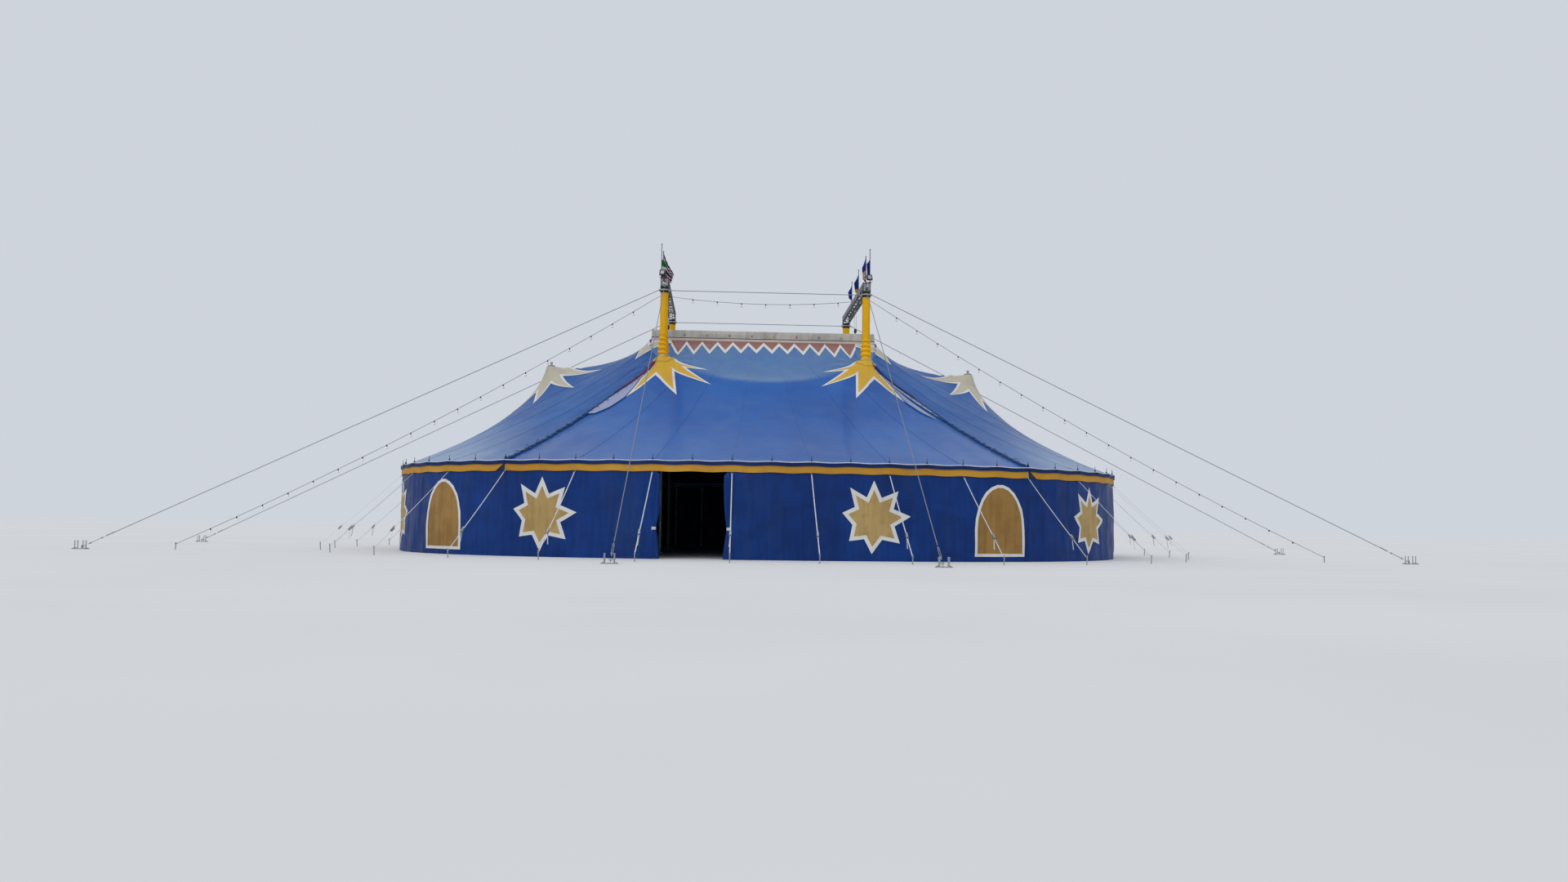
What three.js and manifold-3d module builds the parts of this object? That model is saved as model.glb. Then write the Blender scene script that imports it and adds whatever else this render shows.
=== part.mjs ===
import * as THREE from 'three';
import { mergeVertices } from 'three/addons/utils/BufferGeometryUtils.js';
import Module from 'manifold-3d';

const wasm = await Module();
wasm.setup();

// A four-mast circus big top at 1:2. Every length below is the real tent's, in metres,
// and MODEL turns it into the model's millimetres. X runs to the right, Y to the back.
const MODEL = 500;
const GAP = 0.3 / MODEL;
const ROUND = 16;
const WELD = 0.04 / MODEL;

// Masts, quarter poles and side poles
const MAST_X = 5.0;
const MAST_Y = 4.65;
const MAST_R = 0.14;
const MAST_TOP = 12.78;
const BASE_R = 0.35;
const BASE_T = 0.05;
const QUARTER_X = 11.1;
const QUARTER_R = 0.06;
const QUARTER_BASE_R = 0.25;
const QUARTER_TOP = 9.85;
const SIDE_POLE_R = 0.035;

// Plan of the eave: a superellipse through the side poles, which count from the front centre
// to the right. The doorway is between two of them.
const RIM_A = 17.8;
const RIM_B = 14.0;
const RIM_POWER = 2.5;
const SIDE_POLES = 64;
const SEAM_POLE = 7;
const DOOR = [-3, -1];
const SIDE_CENTRE = 16;

// Heights of the roof, measured on its upper side
const EAVE_Z = 4.04;
const COLLAR_Z = 9.54;
const QUARTER_Z = 9.6;
const CROWN_Z = 10.78;
const SKIN = 0.04;
const CROWN_X = 5.8;
const CROWN_Y = 2.4;
const CROWN_LIP = 0.35;
const RIDGE_SAG = 0.4;
const RIM_IN = 0.15;
const RIM_OUT = 0.12;

// Wall, valance and edge belt, as distances outside the line of the side poles
const WALL_SLACK = 0.0034;
const WALL_IN = SIDE_POLE_R + WALL_SLACK;
const WALL_T = 0.04;
const WALL_TOP = 3.75;
const VALANCE_IN = WALL_IN + WALL_T + GAP;
const VALANCE_T = 0.03;
const VALANCE_LOW = 3.6;
const BELT_IN = RIM_OUT + GAP;
const BELT_T = 0.04;
const BELT_LOW = 3.98;
const BELT_TOP = 4.06;
const CURTAIN_CABLE_Z = 3.85;
const CABLE_W = 0.02;

// Guy straps at every other side pole
const STRAP_REACH = 3.6;
const STRAP_W = 0.05;
const STRAP_T = 0.014;
const STRAP_FOOT_Z = 0.285;
const STAKE_R = 0.028;
const STAKE_TOP = 0.38;

// Mast sleeves, heads, header trusses and what stands on them
const SLEEVE_TOP_R = 0.185;
const SLEEVE_LOW_R = 0.26;
const SLEEVE_FLARE = 0.95;
const SLEEVE_TUCK = 0.25;
const HEAD_R = 0.24;
const HEAD_TOP = 13.05;
const FLANGE_R = 0.29;
const FLANGE_T = 0.03;
const TRUSS_W = 0.4;
const TRUSS_TOP = 13.5;
const TRUSS_END = 4.88;
const CHORD = 0.05;
const BRACE = 0.026;
const SIDE_BRACES = 10;
const FLAT_BRACES = 6;
const FLAG_Y = [-4.62, -3.0, 0.2, 3.4];
const FLAGSTAFF_TOP = 15.25;
const FLAGSTAFF_R = 0.018;

// Cupola
const COVER_X = 5.72;
const COVER_Y = 2.32;
const COVER_TOP = 11.33;
const COVER_RIDGE_X = 3.3;
const COVER_RIDGE_Z = 11.6;
const COVER_T = 0.04;
const FRAME_X = 5.65;
const FRAME_Y = 2.25;
const FRAME_BAR = 0.12;
const FRAME_CROSS_X = [-2.8, 0, 2.8];

// Stays, ties and garlands
const STAY_R = 0.012;
const STAY_Z = 12.9;
const RING_T = 0.06;
const RING_H = 0.08;
const FRONT_ANCHOR = [30.0, 9.0];
const BACK_ANCHOR = [32.5, 9.0];
const STEEP_ANCHOR = [6.0, 20.0];
const PLATE = [0.6, 0.36, 0.06];
const STAKE_SPREAD = 0.22;
const EYE_OFFSET = [0.03, 0.07];
const GARLAND_R = 0.01;
const GARLAND_Z = 12.6;
const FRONT_GARLAND_SAG = 0.28;
const SIDE_GARLAND_SAG = 0.45;
const GARLAND_PEG = [26.3, 8.2];

const group = new THREE.Group();
group.name = 'big_top';

function paint(color, roughness, metalness = 0) {
  return new THREE.MeshStandardMaterial({ color, roughness, metalness });
}
const material = {
  canopy: paint(0x1f4f9e, 0.45),
  wall: paint(0x0d2f86, 0.5),
  yellow: paint(0xe0a81c, 0.6),
  cover: paint(0xc6c8c4, 0.6),
  webbing: paint(0xe4e6e8, 0.7),
  steel: paint(0xa9adb0, 0.45, 0.7),
  dark: paint(0x2c2f31, 0.5, 0.5),
  flag: paint(0x27408f, 0.8),
  cord: paint(0x55585a, 0.7),
};

// Closed meshes and boolean joins

// Corners closer than WELD become one, and faces that this closes are dropped
function clean(geometry) {
  const bare = geometry.clone();
  for (const name of Object.keys(bare.attributes)) {
    if (name !== 'position') bare.deleteAttribute(name);
  }
  const merged = mergeVertices(bare, 1e-6);
  const place = merged.attributes.position;
  const corner = (i) => new THREE.Vector3().fromBufferAttribute(place, i);
  const same = [];
  for (let i = 0; i < place.count; i++) {
    const p = corner(i);
    same.push(i);
    for (let j = 0; j < i && same[i] === i; j++) {
      if (same[j] === j && p.distanceTo(corner(j)) < WELD) same[i] = j;
    }
  }
  const kept = [];
  const index = merged.index.array;
  for (let i = 0; i < index.length; i += 3) {
    const [a, b, c] = [same[index[i]], same[index[i + 1]], same[index[i + 2]]];
    if (a !== b && b !== c && c !== a) kept.push(a, b, c);
  }
  merged.setIndex(kept);
  return merged;
}

function toSolid(geometry) {
  const g = clean(geometry);
  return new wasm.Manifold(new wasm.Mesh({
    numProp: 3,
    vertProperties: new Float32Array(g.attributes.position.array),
    triVerts: new Uint32Array(g.index.array),
  }));
}

function toGeometry(solid) {
  const mesh = solid.getMesh();
  const g = new THREE.BufferGeometry();
  g.setAttribute('position', new THREE.BufferAttribute(new Float32Array(mesh.vertProperties), 3));
  g.setIndex([...mesh.triVerts]);
  return g;
}

function join(geometries) {
  let solid = toSolid(geometries[0]);
  for (const g of geometries.slice(1)) solid = solid.add(toSolid(g));
  return toGeometry(solid);
}

function cut(geometry, tools) {
  let solid = toSolid(geometry);
  for (const g of tools) solid = solid.subtract(toSolid(g));
  return toGeometry(solid);
}

function meshFrom(points, faces) {
  const g = new THREE.BufferGeometry();
  g.setAttribute('position', new THREE.Float32BufferAttribute(points.flat(), 3));
  let volume = 0;
  for (const [a, b, c] of faces) {
    const [p, q, r] = [points[a], points[b], points[c]];
    volume += p[0] * (q[1] * r[2] - q[2] * r[1]) - p[1] * (q[0] * r[2] - q[2] * r[0])
      + p[2] * (q[0] * r[1] - q[1] * r[0]);
  }
  g.setIndex((volume < 0 ? faces.map(([a, b, c]) => [a, c, b]) : faces).flat());
  return g;
}

function add(name, geometry, slot) {
  const scaled = clean(geometry);
  scaled.scale(MODEL, MODEL, MODEL);
  scaled.computeVertexNormals();
  const mesh = new THREE.Mesh(scaled, material[slot]);
  mesh.name = name;
  group.add(mesh);
}

// Plain shapes, upright on Z

function cylinder(radius, low, high, sides, x = 0, y = 0, turn = 0) {
  const g = new THREE.CylinderGeometry(radius, radius, high - low, sides);
  g.rotateX(Math.PI / 2);
  g.rotateZ(turn);
  return g.translate(x, y, (low + high) / 2);
}

function box(width, depth, height, x, y, z) {
  return new THREE.BoxGeometry(width, depth, height).translate(x, y, z);
}

function squarePost(half, low, high, x, y, turn) {
  return box(2 * half, 2 * half, high - low, 0, 0, (low + high) / 2).rotateZ(turn).translate(x, y, 0);
}

function spun(profile, sides, x, y) {
  const points = profile.map(([r, z]) => new THREE.Vector2(r, z));
  const g = new THREE.LatheGeometry(points, sides);
  g.rotateX(Math.PI / 2);
  return g.translate(x, y, 0);
}

function bar(from, to, width, height, sides = 4) {
  const a = new THREE.Vector3(...from);
  const b = new THREE.Vector3(...to);
  const length = a.distanceTo(b);
  const g = sides === 4
    ? new THREE.BoxGeometry(width, length, height)
    : new THREE.CylinderGeometry(width, width, length, sides);
  const turn = new THREE.Quaternion().setFromUnitVectors(
    new THREE.Vector3(0, 1, 0), b.clone().sub(a).normalize());
  g.applyQuaternion(turn);
  return g.translate(...a.add(b).multiplyScalar(0.5).toArray());
}

// The eave line: equally spaced side poles, numbered from the front centre to the right

function rimCurve(turn) {
  const [s, c] = [Math.sin(turn), Math.cos(turn)];
  const bend = 2 / RIM_POWER;
  return [
    RIM_A * Math.sign(s) * Math.abs(s) ** bend,
    -RIM_B * Math.sign(c) * Math.abs(c) ** bend,
  ];
}

function rimPoles() {
  const steps = 8192;
  const points = Array.from({ length: steps + 1 }, (_, i) => rimCurve(2 * Math.PI * i / steps));
  const run = [0];
  for (let i = 1; i <= steps; i++) {
    const [p, q] = [points[i - 1], points[i]];
    run.push(run[i - 1] + Math.hypot(q[0] - p[0], q[1] - p[1]));
  }
  const poles = [];
  let i = 0;
  for (let k = 0; k < SIDE_POLES; k++) {
    const target = run[steps] * k / SIDE_POLES;
    while (run[i + 1] < target) i += 1;
    const t = (target - run[i]) / (run[i + 1] - run[i]);
    poles.push([0, 1].map((d) => points[i][d] + t * (points[i + 1][d] - points[i][d])));
  }
  return poles;
}
const POLES = rimPoles();

function rimNormal(k) {
  const [x, y] = POLES[(k + SIDE_POLES) % SIDE_POLES];
  const nx = Math.sign(x) * (Math.abs(x) / RIM_A) ** (RIM_POWER - 1) / RIM_A;
  const ny = Math.sign(y) * (Math.abs(y) / RIM_B) ** (RIM_POWER - 1) / RIM_B;
  const length = Math.hypot(nx, ny);
  return [nx / length, ny / length];
}

function rim(k, outside = 0) {
  const [x, y] = POLES[(k + SIDE_POLES) % SIDE_POLES];
  const [nx, ny] = rimNormal(k);
  return [x + nx * outside, y + ny * outside];
}

// A convex section of [distance outside the poles, height] swept from pole to pole
function sweepRim(section, first, last, startCut = 0, endCut = startCut) {
  const points = [];
  const faces = [];
  const n = section.length;
  for (let k = first; k <= last; k++) {
    const along = k === first ? startCut : k === last ? -endCut : 0;
    const [nx, ny] = rimNormal(k);
    for (const [outside, z] of section) {
      const [x, y] = rim(k, outside);
      points.push([x - ny * along, y + nx * along, z]);
    }
  }
  for (let k = 0; k < last - first; k++) {
    for (let i = 0; i < n; i++) {
      const [a, b] = [k * n + i, k * n + (i + 1) % n];
      faces.push([a, b, a + n], [b, b + n, a + n]);
    }
  }
  const end = (last - first) * n;
  for (let i = 1; i < n - 1; i++) {
    faces.push([0, i + 1, i], [end, end + i, end + i + 1]);
  }
  return meshFrom(points, faces);
}

// Roof heights: a stretched skin over its supports, solved on a square grid

const CELL = 0.2;
const NX = Math.round((RIM_A + 2 * CELL) / CELL);
const NY = Math.round((RIM_B + 2 * CELL) / CELL);

function heldHeight(x, y) {
  const [ax, ay] = [Math.abs(x), Math.abs(y)];
  if ((ax / RIM_A) ** RIM_POWER + (ay / RIM_B) ** RIM_POWER >= 1) return EAVE_Z;
  if (ax <= CROWN_X && ay <= CROWN_Y) return CROWN_Z;
  if (Math.hypot(ax - MAST_X, ay - MAST_Y) < BASE_R) return COLLAR_Z;
  if (Math.hypot(ax - QUARTER_X, ay) < QUARTER_BASE_R) return QUARTER_Z;
  if (ay < CELL / 2 && ax < QUARTER_X) {
    const t = (ax - CROWN_X) / (QUARTER_X - CROWN_X);
    return CROWN_Z + (QUARTER_Z - CROWN_Z) * t - 4 * RIDGE_SAG * t * (1 - t);
  }
  return null;
}

// The tent is symmetric, so one quarter is solved, mirrored at its two straight edges
function solveRoof() {
  const z = new Float64Array((NX + 1) * (NY + 1));
  const free = new Uint8Array(z.length);
  for (let i = 0; i <= NX; i++) {
    for (let j = 0; j <= NY; j++) {
      const held = heldHeight(i * CELL, j * CELL);
      free[i * (NY + 1) + j] = held === null ? 1 : 0;
      z[i * (NY + 1) + j] = held ?? 7;
    }
  }
  const sweeps = 700;
  const overshoot = 1.93;
  for (let sweep = 0; sweep < sweeps; sweep++) {
    for (let i = 0; i < NX; i++) {
      for (let j = 0; j < NY; j++) {
        const at = i * (NY + 1) + j;
        if (!free[at]) continue;
        const west = z[Math.abs(i - 1) * (NY + 1) + j];
        const south = z[i * (NY + 1) + Math.abs(j - 1)];
        const mean = (west + z[at + NY + 1] + south + z[at + 1]) / 4;
        z[at] += overshoot * (mean - z[at]);
      }
    }
  }
  return z;
}
const ROOF = solveRoof();

function roofZ(x, y) {
  const u = Math.min(Math.abs(x) / CELL, NX - 1e-6);
  const v = Math.min(Math.abs(y) / CELL, NY - 1e-6);
  const [i, j] = [Math.floor(u), Math.floor(v)];
  const at = i * (NY + 1) + j;
  const near = ROOF[at] * (1 - (v - j)) + ROOF[at + 1] * (v - j);
  const far = ROOF[at + NY + 1] * (1 - (v - j)) + ROOF[at + NY + 2] * (v - j);
  return near * (1 - (u - i)) + far * (u - i);
}

// Roof sections between the laced seams, each a thin skin with rows from the crown to the eave

const ROW_STEPS = [0, 0.13, 0.26, 0.385, 0.54, 0.7, 0.86, 1];
const MAST_ROW_BULGE = 1.9;

function mix(p, q, t) {
  return [p[0] + (q[0] - p[0]) * t, p[1] + (q[1] - p[1]) * t];
}

// side is 'end' for the left and right sections, and across runs from -1 to 1 along the section
function sectionRows(side, across, sign, rimPole) {
  const lip = [CROWN_X - CROWN_LIP, CROWN_Y - CROWN_LIP];
  const inner = side === 'end' ? [sign * lip[0], across * lip[1]] : [across * lip[0], sign * lip[1]];
  const crown = side === 'end' ? [sign * CROWN_X, across * CROWN_Y] : [across * CROWN_X, sign * CROWN_Y];
  const bulge = side === 'end' ? MAST_ROW_BULGE * (1 - across ** 2) : 0;
  const mast = side === 'end'
    ? [sign * (MAST_X + bulge), across * MAST_Y]
    : [across * MAST_X, sign * MAST_Y];
  const edge = rim(rimPole, -RIM_IN);
  const rows = [[inner, CROWN_Z], [crown, CROWN_Z]];
  const half = mix(crown, mast, 0.5);
  rows.push([half, roofZ(...half)]);
  const quarter = [sign * QUARTER_X, 0];
  for (const t of ROW_STEPS) {
    let p = mix(mast, edge, t);
    if (side === 'end' && across === 0 && t === ROW_STEPS[3]) p = quarter;
    rows.push([p, t === 1 ? EAVE_Z : roofZ(...p)]);
  }
  rows.push([rim(rimPole, RIM_OUT), EAVE_Z]);
  return rows.map(([[x, y], z]) => [x, y, z]);
}

function canopySection(side, sign, first, last, reversed) {
  const columns = [];
  const bays = last - first;
  for (let k = 0; k <= bays; k++) {
    const across = (reversed ? -1 : 1) * (2 * k / bays - 1);
    columns.push(sectionRows(side, across, sign, first + k));
  }
  // The laced edges stand half a gap back from the seam
  for (const [edge, next] of [[0, 1], [bays, bays - 1]]) {
    columns[edge] = columns[edge].map((p, r) => {
      const q = columns[next][r];
      const t = 0.5 * GAP / Math.hypot(q[0] - p[0], q[1] - p[1]);
      return p.map((value, d) => value + (q[d] - value) * t);
    });
  }
  const rows = columns[0].length;
  const points = [];
  for (const lower of [0, SKIN]) {
    for (const column of columns) for (const [x, y, z] of column) points.push([x, y, z - lower]);
  }
  const under = columns.length * rows;
  const faces = [];
  const quad = (a, b, c, d) => faces.push([a, b, c], [a, c, d]);
  for (let k = 0; k < bays; k++) {
    for (let r = 0; r < rows - 1; r++) {
      const a = k * rows + r;
      quad(a, a + rows, a + rows + 1, a + 1);
      quad(under + a + 1, under + a + rows + 1, under + a + rows, under + a);
    }
    const [inner, outer] = [k * rows, k * rows + rows - 1];
    quad(inner, under + inner, under + inner + rows, inner + rows);
    quad(outer + rows, under + outer + rows, under + outer, outer);
  }
  for (let r = 0; r < rows - 1; r++) {
    const a = bays * rows + r;
    quad(r + 1, under + r + 1, under + r, r);
    quad(a, under + a, under + a + 1, a + 1);
  }
  return meshFrom(points, faces);
}

function poleHoles() {
  const holes = [];
  for (const sx of [-1, 1]) {
    for (const sy of [-1, 1]) {
      holes.push(cylinder(SLEEVE_LOW_R + GAP, COLLAR_Z - 2, COLLAR_Z + 2, ROUND, sx * MAST_X, sy * MAST_Y));
    }
    holes.push(cylinder(QUARTER_R + GAP, QUARTER_Z - 1, QUARTER_Z + 1, 12, sx * QUARTER_X, 0));
  }
  return holes;
}

const BACK_CENTRE = SIDE_POLES / 2;
const HALF_SIDE = SIDE_CENTRE - SEAM_POLE;
const SECTIONS = {
  front: ['wide', -1, -SEAM_POLE, SEAM_POLE, false],
  right: ['end', 1, SEAM_POLE, SIDE_CENTRE + HALF_SIDE, false],
  back: ['wide', 1, BACK_CENTRE - SEAM_POLE, BACK_CENTRE + SEAM_POLE, true],
  left: ['end', -1, BACK_CENTRE + SEAM_POLE, SIDE_POLES - SEAM_POLE, true],
};
for (const [name, [side, sign, first, last, reversed]] of Object.entries(SECTIONS)) {
  const skin = canopySection(side, sign, first, last, reversed);
  add(`canopy_${name}`, cut(skin, poleHoles()), 'canopy');
}

// Walls, valance and the rows of side poles

const rectangle = (inside, outside, low, high) => [
  [inside, low], [outside, low], [outside, high], [inside, high],
];
const WALL_SECTION = rectangle(WALL_IN, WALL_IN + WALL_T, 0, WALL_TOP);
const WALL_FRONT_END = -8;
const WALLS = {
  front_left: [WALL_FRONT_END, DOOR[0]],
  front_right: [DOOR[1], SEAM_POLE],
  right: [SEAM_POLE, SIDE_CENTRE + HALF_SIDE],
  back: [SIDE_CENTRE + HALF_SIDE, BACK_CENTRE + SEAM_POLE],
  left: [BACK_CENTRE + SEAM_POLE, SIDE_POLES + WALL_FRONT_END],
};
for (const [name, [first, last]] of Object.entries(WALLS)) {
  add(`wall_${name}`, sweepRim(WALL_SECTION, first, last, GAP / 2), 'wall');
}

const VALANCE_SECTION = rectangle(
  VALANCE_IN, VALANCE_IN + VALANCE_T, VALANCE_LOW, EAVE_Z - SKIN - GAP);
const HALVES = { front: [-SIDE_CENTRE, SIDE_CENTRE], back: [SIDE_CENTRE, 3 * SIDE_CENTRE] };
for (const [name, [first, last]] of Object.entries(HALVES)) {
  add(`valance_${name}`, sweepRim(VALANCE_SECTION, first, last, GAP / 2), 'yellow');
}

function outward(k) {
  const [nx, ny] = rimNormal(k);
  return Math.atan2(ny, nx) + Math.PI / 2;
}

function curtainCable(first, last, startCut, endCut) {
  const half = CABLE_W / 2;
  const section = rectangle(-half, half, CURTAIN_CABLE_Z - half, CURTAIN_CABLE_Z + half);
  return sweepRim(section, first, last, startCut, endCut);
}

// A row of poles joined by its cable, which ends at the next row's first pole or at the doorway
function sidePoles(first, last, atDoorway) {
  const pieces = [curtainCable(first, last, 0, atDoorway ? 0 : SIDE_POLE_R + GAP)];
  for (let k = first; k < (atDoorway ? last + 1 : last); k++) {
    const [x, y] = rim(k);
    pieces.push(squarePost(SIDE_POLE_R, 0, EAVE_Z - SKIN - GAP, x, y, outward(k)));
  }
  return join(pieces);
}
const POLE_ROWS = {
  front_left: [-SEAM_POLE, DOOR[0], true],
  front_right: [DOOR[1], SEAM_POLE, false],
  right: [SEAM_POLE, SIDE_CENTRE + HALF_SIDE, false],
  back: [SIDE_CENTRE + HALF_SIDE, BACK_CENTRE + SEAM_POLE, false],
  left: [BACK_CENTRE + SEAM_POLE, SIDE_POLES - SEAM_POLE, false],
};
for (const [name, [first, last, atDoorway]] of Object.entries(POLE_ROWS)) {
  add(`side_poles_${name}`, sidePoles(first, last, atDoorway), 'steel');
}
add('doorway_cable', curtainCable(...DOOR, SIDE_POLE_R + GAP, SIDE_POLE_R + GAP), 'steel');

// The webbing belt along the eave, and the guy straps with their stakes

function guyStraps(first, last) {
  const pieces = [sweepRim(rectangle(BELT_IN, BELT_IN + BELT_T, BELT_LOW, BELT_TOP), first, last, GAP / 2)];
  const middle = BELT_IN + BELT_T / 2;
  for (let k = first + 1; k < last; k++) {
    if (k % 2 === 0) continue;
    const [x, y] = rim(k, middle);
    const foot = rim(k, STRAP_REACH);
    const hold = (BELT_LOW + BELT_TOP) / 2;
    pieces.push(strap([x, y, hold], [...foot, STRAP_FOOT_Z]));
    pieces.push(squarePost(STAKE_R, 0, STAKE_TOP, ...foot, outward(k)));
  }
  return join(pieces);
}

// A flat strap lies level across its width
function strap(from, to) {
  const a = new THREE.Vector3(...from);
  const b = new THREE.Vector3(...to);
  const along = b.clone().sub(a).normalize();
  const across = new THREE.Vector3().crossVectors(along, new THREE.Vector3(0, 0, 1)).normalize();
  const up = new THREE.Vector3().crossVectors(across, along);
  const g = new THREE.BoxGeometry(STRAP_W, a.distanceTo(b), STRAP_T);
  g.applyMatrix4(new THREE.Matrix4().makeBasis(across, along, up));
  return g.translate(...a.add(b).multiplyScalar(0.5).toArray());
}
for (const [name, [first, last]] of Object.entries(HALVES)) {
  add(`guy_straps_${name}`, guyStraps(first, last), 'webbing');
}

// Masts with sleeves, heads and stays

const MAST_PROFILE = [
  [0, 0], [BASE_R, 0], [BASE_R, BASE_T], [MAST_R, BASE_T], [MAST_R, MAST_TOP], [0, MAST_TOP],
];
const SLEEVE_IN = MAST_R + GAP;
const SLEEVE_FOOT = COLLAR_Z - SLEEVE_TUCK;
const SLEEVE_PROFILE = [
  [SLEEVE_IN, SLEEVE_FOOT], [SLEEVE_LOW_R, SLEEVE_FOOT],
  [SLEEVE_LOW_R, COLLAR_Z + SLEEVE_FLARE * 0.4], [SLEEVE_TOP_R + 0.02, COLLAR_Z + SLEEVE_FLARE],
  [SLEEVE_TOP_R, MAST_TOP], [SLEEVE_IN, MAST_TOP], [SLEEVE_IN, SLEEVE_FOOT],
];
const HEAD_PROFILE = [
  [0, MAST_TOP + GAP], [HEAD_R, MAST_TOP + GAP], [HEAD_R, HEAD_TOP - FLANGE_T],
  [FLANGE_R, HEAD_TOP - FLANGE_T], [FLANGE_R, HEAD_TOP], [0, HEAD_TOP],
];
const RING_IN = HEAD_R + GAP;
const RING_PROFILE = [
  [RING_IN, STAY_Z - RING_H / 2], [RING_IN + RING_T, STAY_Z - RING_H / 2],
  [RING_IN + RING_T, STAY_Z + RING_H / 2], [RING_IN, STAY_Z + RING_H / 2],
  [RING_IN, STAY_Z - RING_H / 2],
];

function anchor(x, y) {
  const pieces = [box(...PLATE, x, y, PLATE[2] / 2)];
  for (const dx of [-STAKE_SPREAD, STAKE_SPREAD]) {
    pieces.push(squarePost(STAKE_R, 0, STAKE_TOP, x + dx, y, 0));
  }
  return pieces;
}

function mastStays(sx, sy) {
  const [x, y] = [sx * MAST_X, sy * MAST_Y];
  const pieces = [spun(RING_PROFILE, ROUND, x, y)];
  const outer = sy < 0 ? FRONT_ANCHOR : BACK_ANCHOR;
  for (const [ax, ay] of [outer, STEEP_ANCHOR]) {
    const plate = [sx * ax, sy * ay];
    const foot = [plate[0] - sx * EYE_OFFSET[0], plate[1] - sy * EYE_OFFSET[1]];
    const reach = Math.hypot(foot[0] - x, foot[1] - y);
    const start = RING_IN + RING_T / 2;
    const from = [x + (foot[0] - x) * start / reach, y + (foot[1] - y) * start / reach, STAY_Z];
    pieces.push(bar(from, [...foot, PLATE[2] / 2], STAY_R, STAY_R, 6), ...anchor(...plate));
  }
  return join(pieces);
}

for (const [ly, sy] of [['front', -1], ['back', 1]]) {
  for (const [lx, sx] of [['left', -1], ['right', 1]]) {
    const [x, y] = [sx * MAST_X, sy * MAST_Y];
    add(`king_pole_${ly}_${lx}`, spun(MAST_PROFILE, ROUND, x, y), 'steel');
    add(`mast_sleeve_${ly}_${lx}`, spun(SLEEVE_PROFILE, ROUND, x, y), 'yellow');
    add(`mast_head_${ly}_${lx}`, spun(HEAD_PROFILE, ROUND, x, y), 'dark');
    add(`mast_stays_${ly}_${lx}`, mastStays(sx, sy), 'steel');
  }
}

// Quarter poles at the ends of the ridge

const QUARTER_PROFILE = [
  [0, 0], [QUARTER_BASE_R, 0], [QUARTER_BASE_R, BASE_T], [QUARTER_R, BASE_T],
  [QUARTER_R, QUARTER_TOP], [0, QUARTER_TOP],
];
add('quarter_pole_left', spun(QUARTER_PROFILE, 12, -QUARTER_X, 0), 'steel');
add('quarter_pole_right', spun(QUARTER_PROFILE, 12, QUARTER_X, 0), 'steel');

// Header trusses from front mast to back mast, with flags, floodlights and hoists

function headerTruss(x) {
  const low = HEAD_TOP + GAP;
  const inset = (TRUSS_W - CHORD) / 2;
  const [floor, roof] = [low + CHORD / 2, TRUSS_TOP - CHORD / 2];
  const pieces = [];
  for (const dx of [-inset, inset]) {
    for (const z of [floor, roof]) {
      pieces.push(box(CHORD, 2 * TRUSS_END, CHORD, x + dx, 0, z));
    }
  }
  const braced = TRUSS_END - CHORD / 2;
  for (const y of [-braced, 0, braced]) {
    for (const dx of [-inset, inset]) pieces.push(box(CHORD, CHORD, roof - floor, x + dx, y, (floor + roof) / 2));
    for (const z of [floor, roof]) pieces.push(box(2 * inset, CHORD, CHORD, x, y, z));
  }
  const zigzag = (count, from, to) => {
    for (let i = 0; i < count; i++) {
      const [p, q] = i % 2 === 0 ? [from, to] : [to, from];
      const step = 2 * braced / count;
      pieces.push(bar([p[0], i * step - braced, p[1]], [q[0], (i + 1) * step - braced, q[1]], BRACE, BRACE));
    }
  };
  zigzag(SIDE_BRACES, [x - inset, floor], [x - inset, roof]);
  zigzag(SIDE_BRACES, [x + inset, floor], [x + inset, roof]);
  zigzag(FLAT_BRACES, [x - inset, floor], [x + inset, floor]);
  zigzag(FLAT_BRACES, [x - inset, roof], [x + inset, roof]);
  return join(pieces);
}

// A flag hangs limp beside its staff
const FLAG_TOP = 14.75;
const FLAG_DROP = 1.05;
const FLAG_SPREAD = 0.34;
const FLAG_T = 0.07;
function flag(x, y) {
  const staff = cylinder(FLAGSTAFF_R, TRUSS_TOP + GAP, FLAGSTAFF_TOP, 6, x, y);
  const foot = cylinder(0.045, TRUSS_TOP + GAP, TRUSS_TOP + 0.08, 6, x, y);
  const shape = new THREE.Shape();
  shape.moveTo(0, FLAG_TOP);
  shape.lineTo(0.05, FLAG_TOP - 0.02);
  shape.lineTo(FLAG_SPREAD, FLAG_TOP - FLAG_DROP * 0.72);
  shape.lineTo(FLAG_SPREAD * 0.8, FLAG_TOP - FLAG_DROP);
  shape.lineTo(0, FLAG_TOP - FLAG_DROP * 0.86);
  const cloth = new THREE.ExtrudeGeometry(shape, { depth: FLAG_T, bevelEnabled: false });
  cloth.rotateX(Math.PI / 2).translate(x, y + FLAG_T / 2, 0);
  return join([staff, foot, cloth]);
}

function floodlight(x) {
  const y = -TRUSS_END + 0.02;
  const post = box(0.08, 0.06, 0.14, x, y, TRUSS_TOP + GAP + 0.07);
  const housing = new THREE.BoxGeometry(0.36, 0.16, 0.26);
  housing.rotateX(-0.35).translate(x, y - 0.04, TRUSS_TOP + 0.22);
  return join([post, housing]);
}

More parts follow.
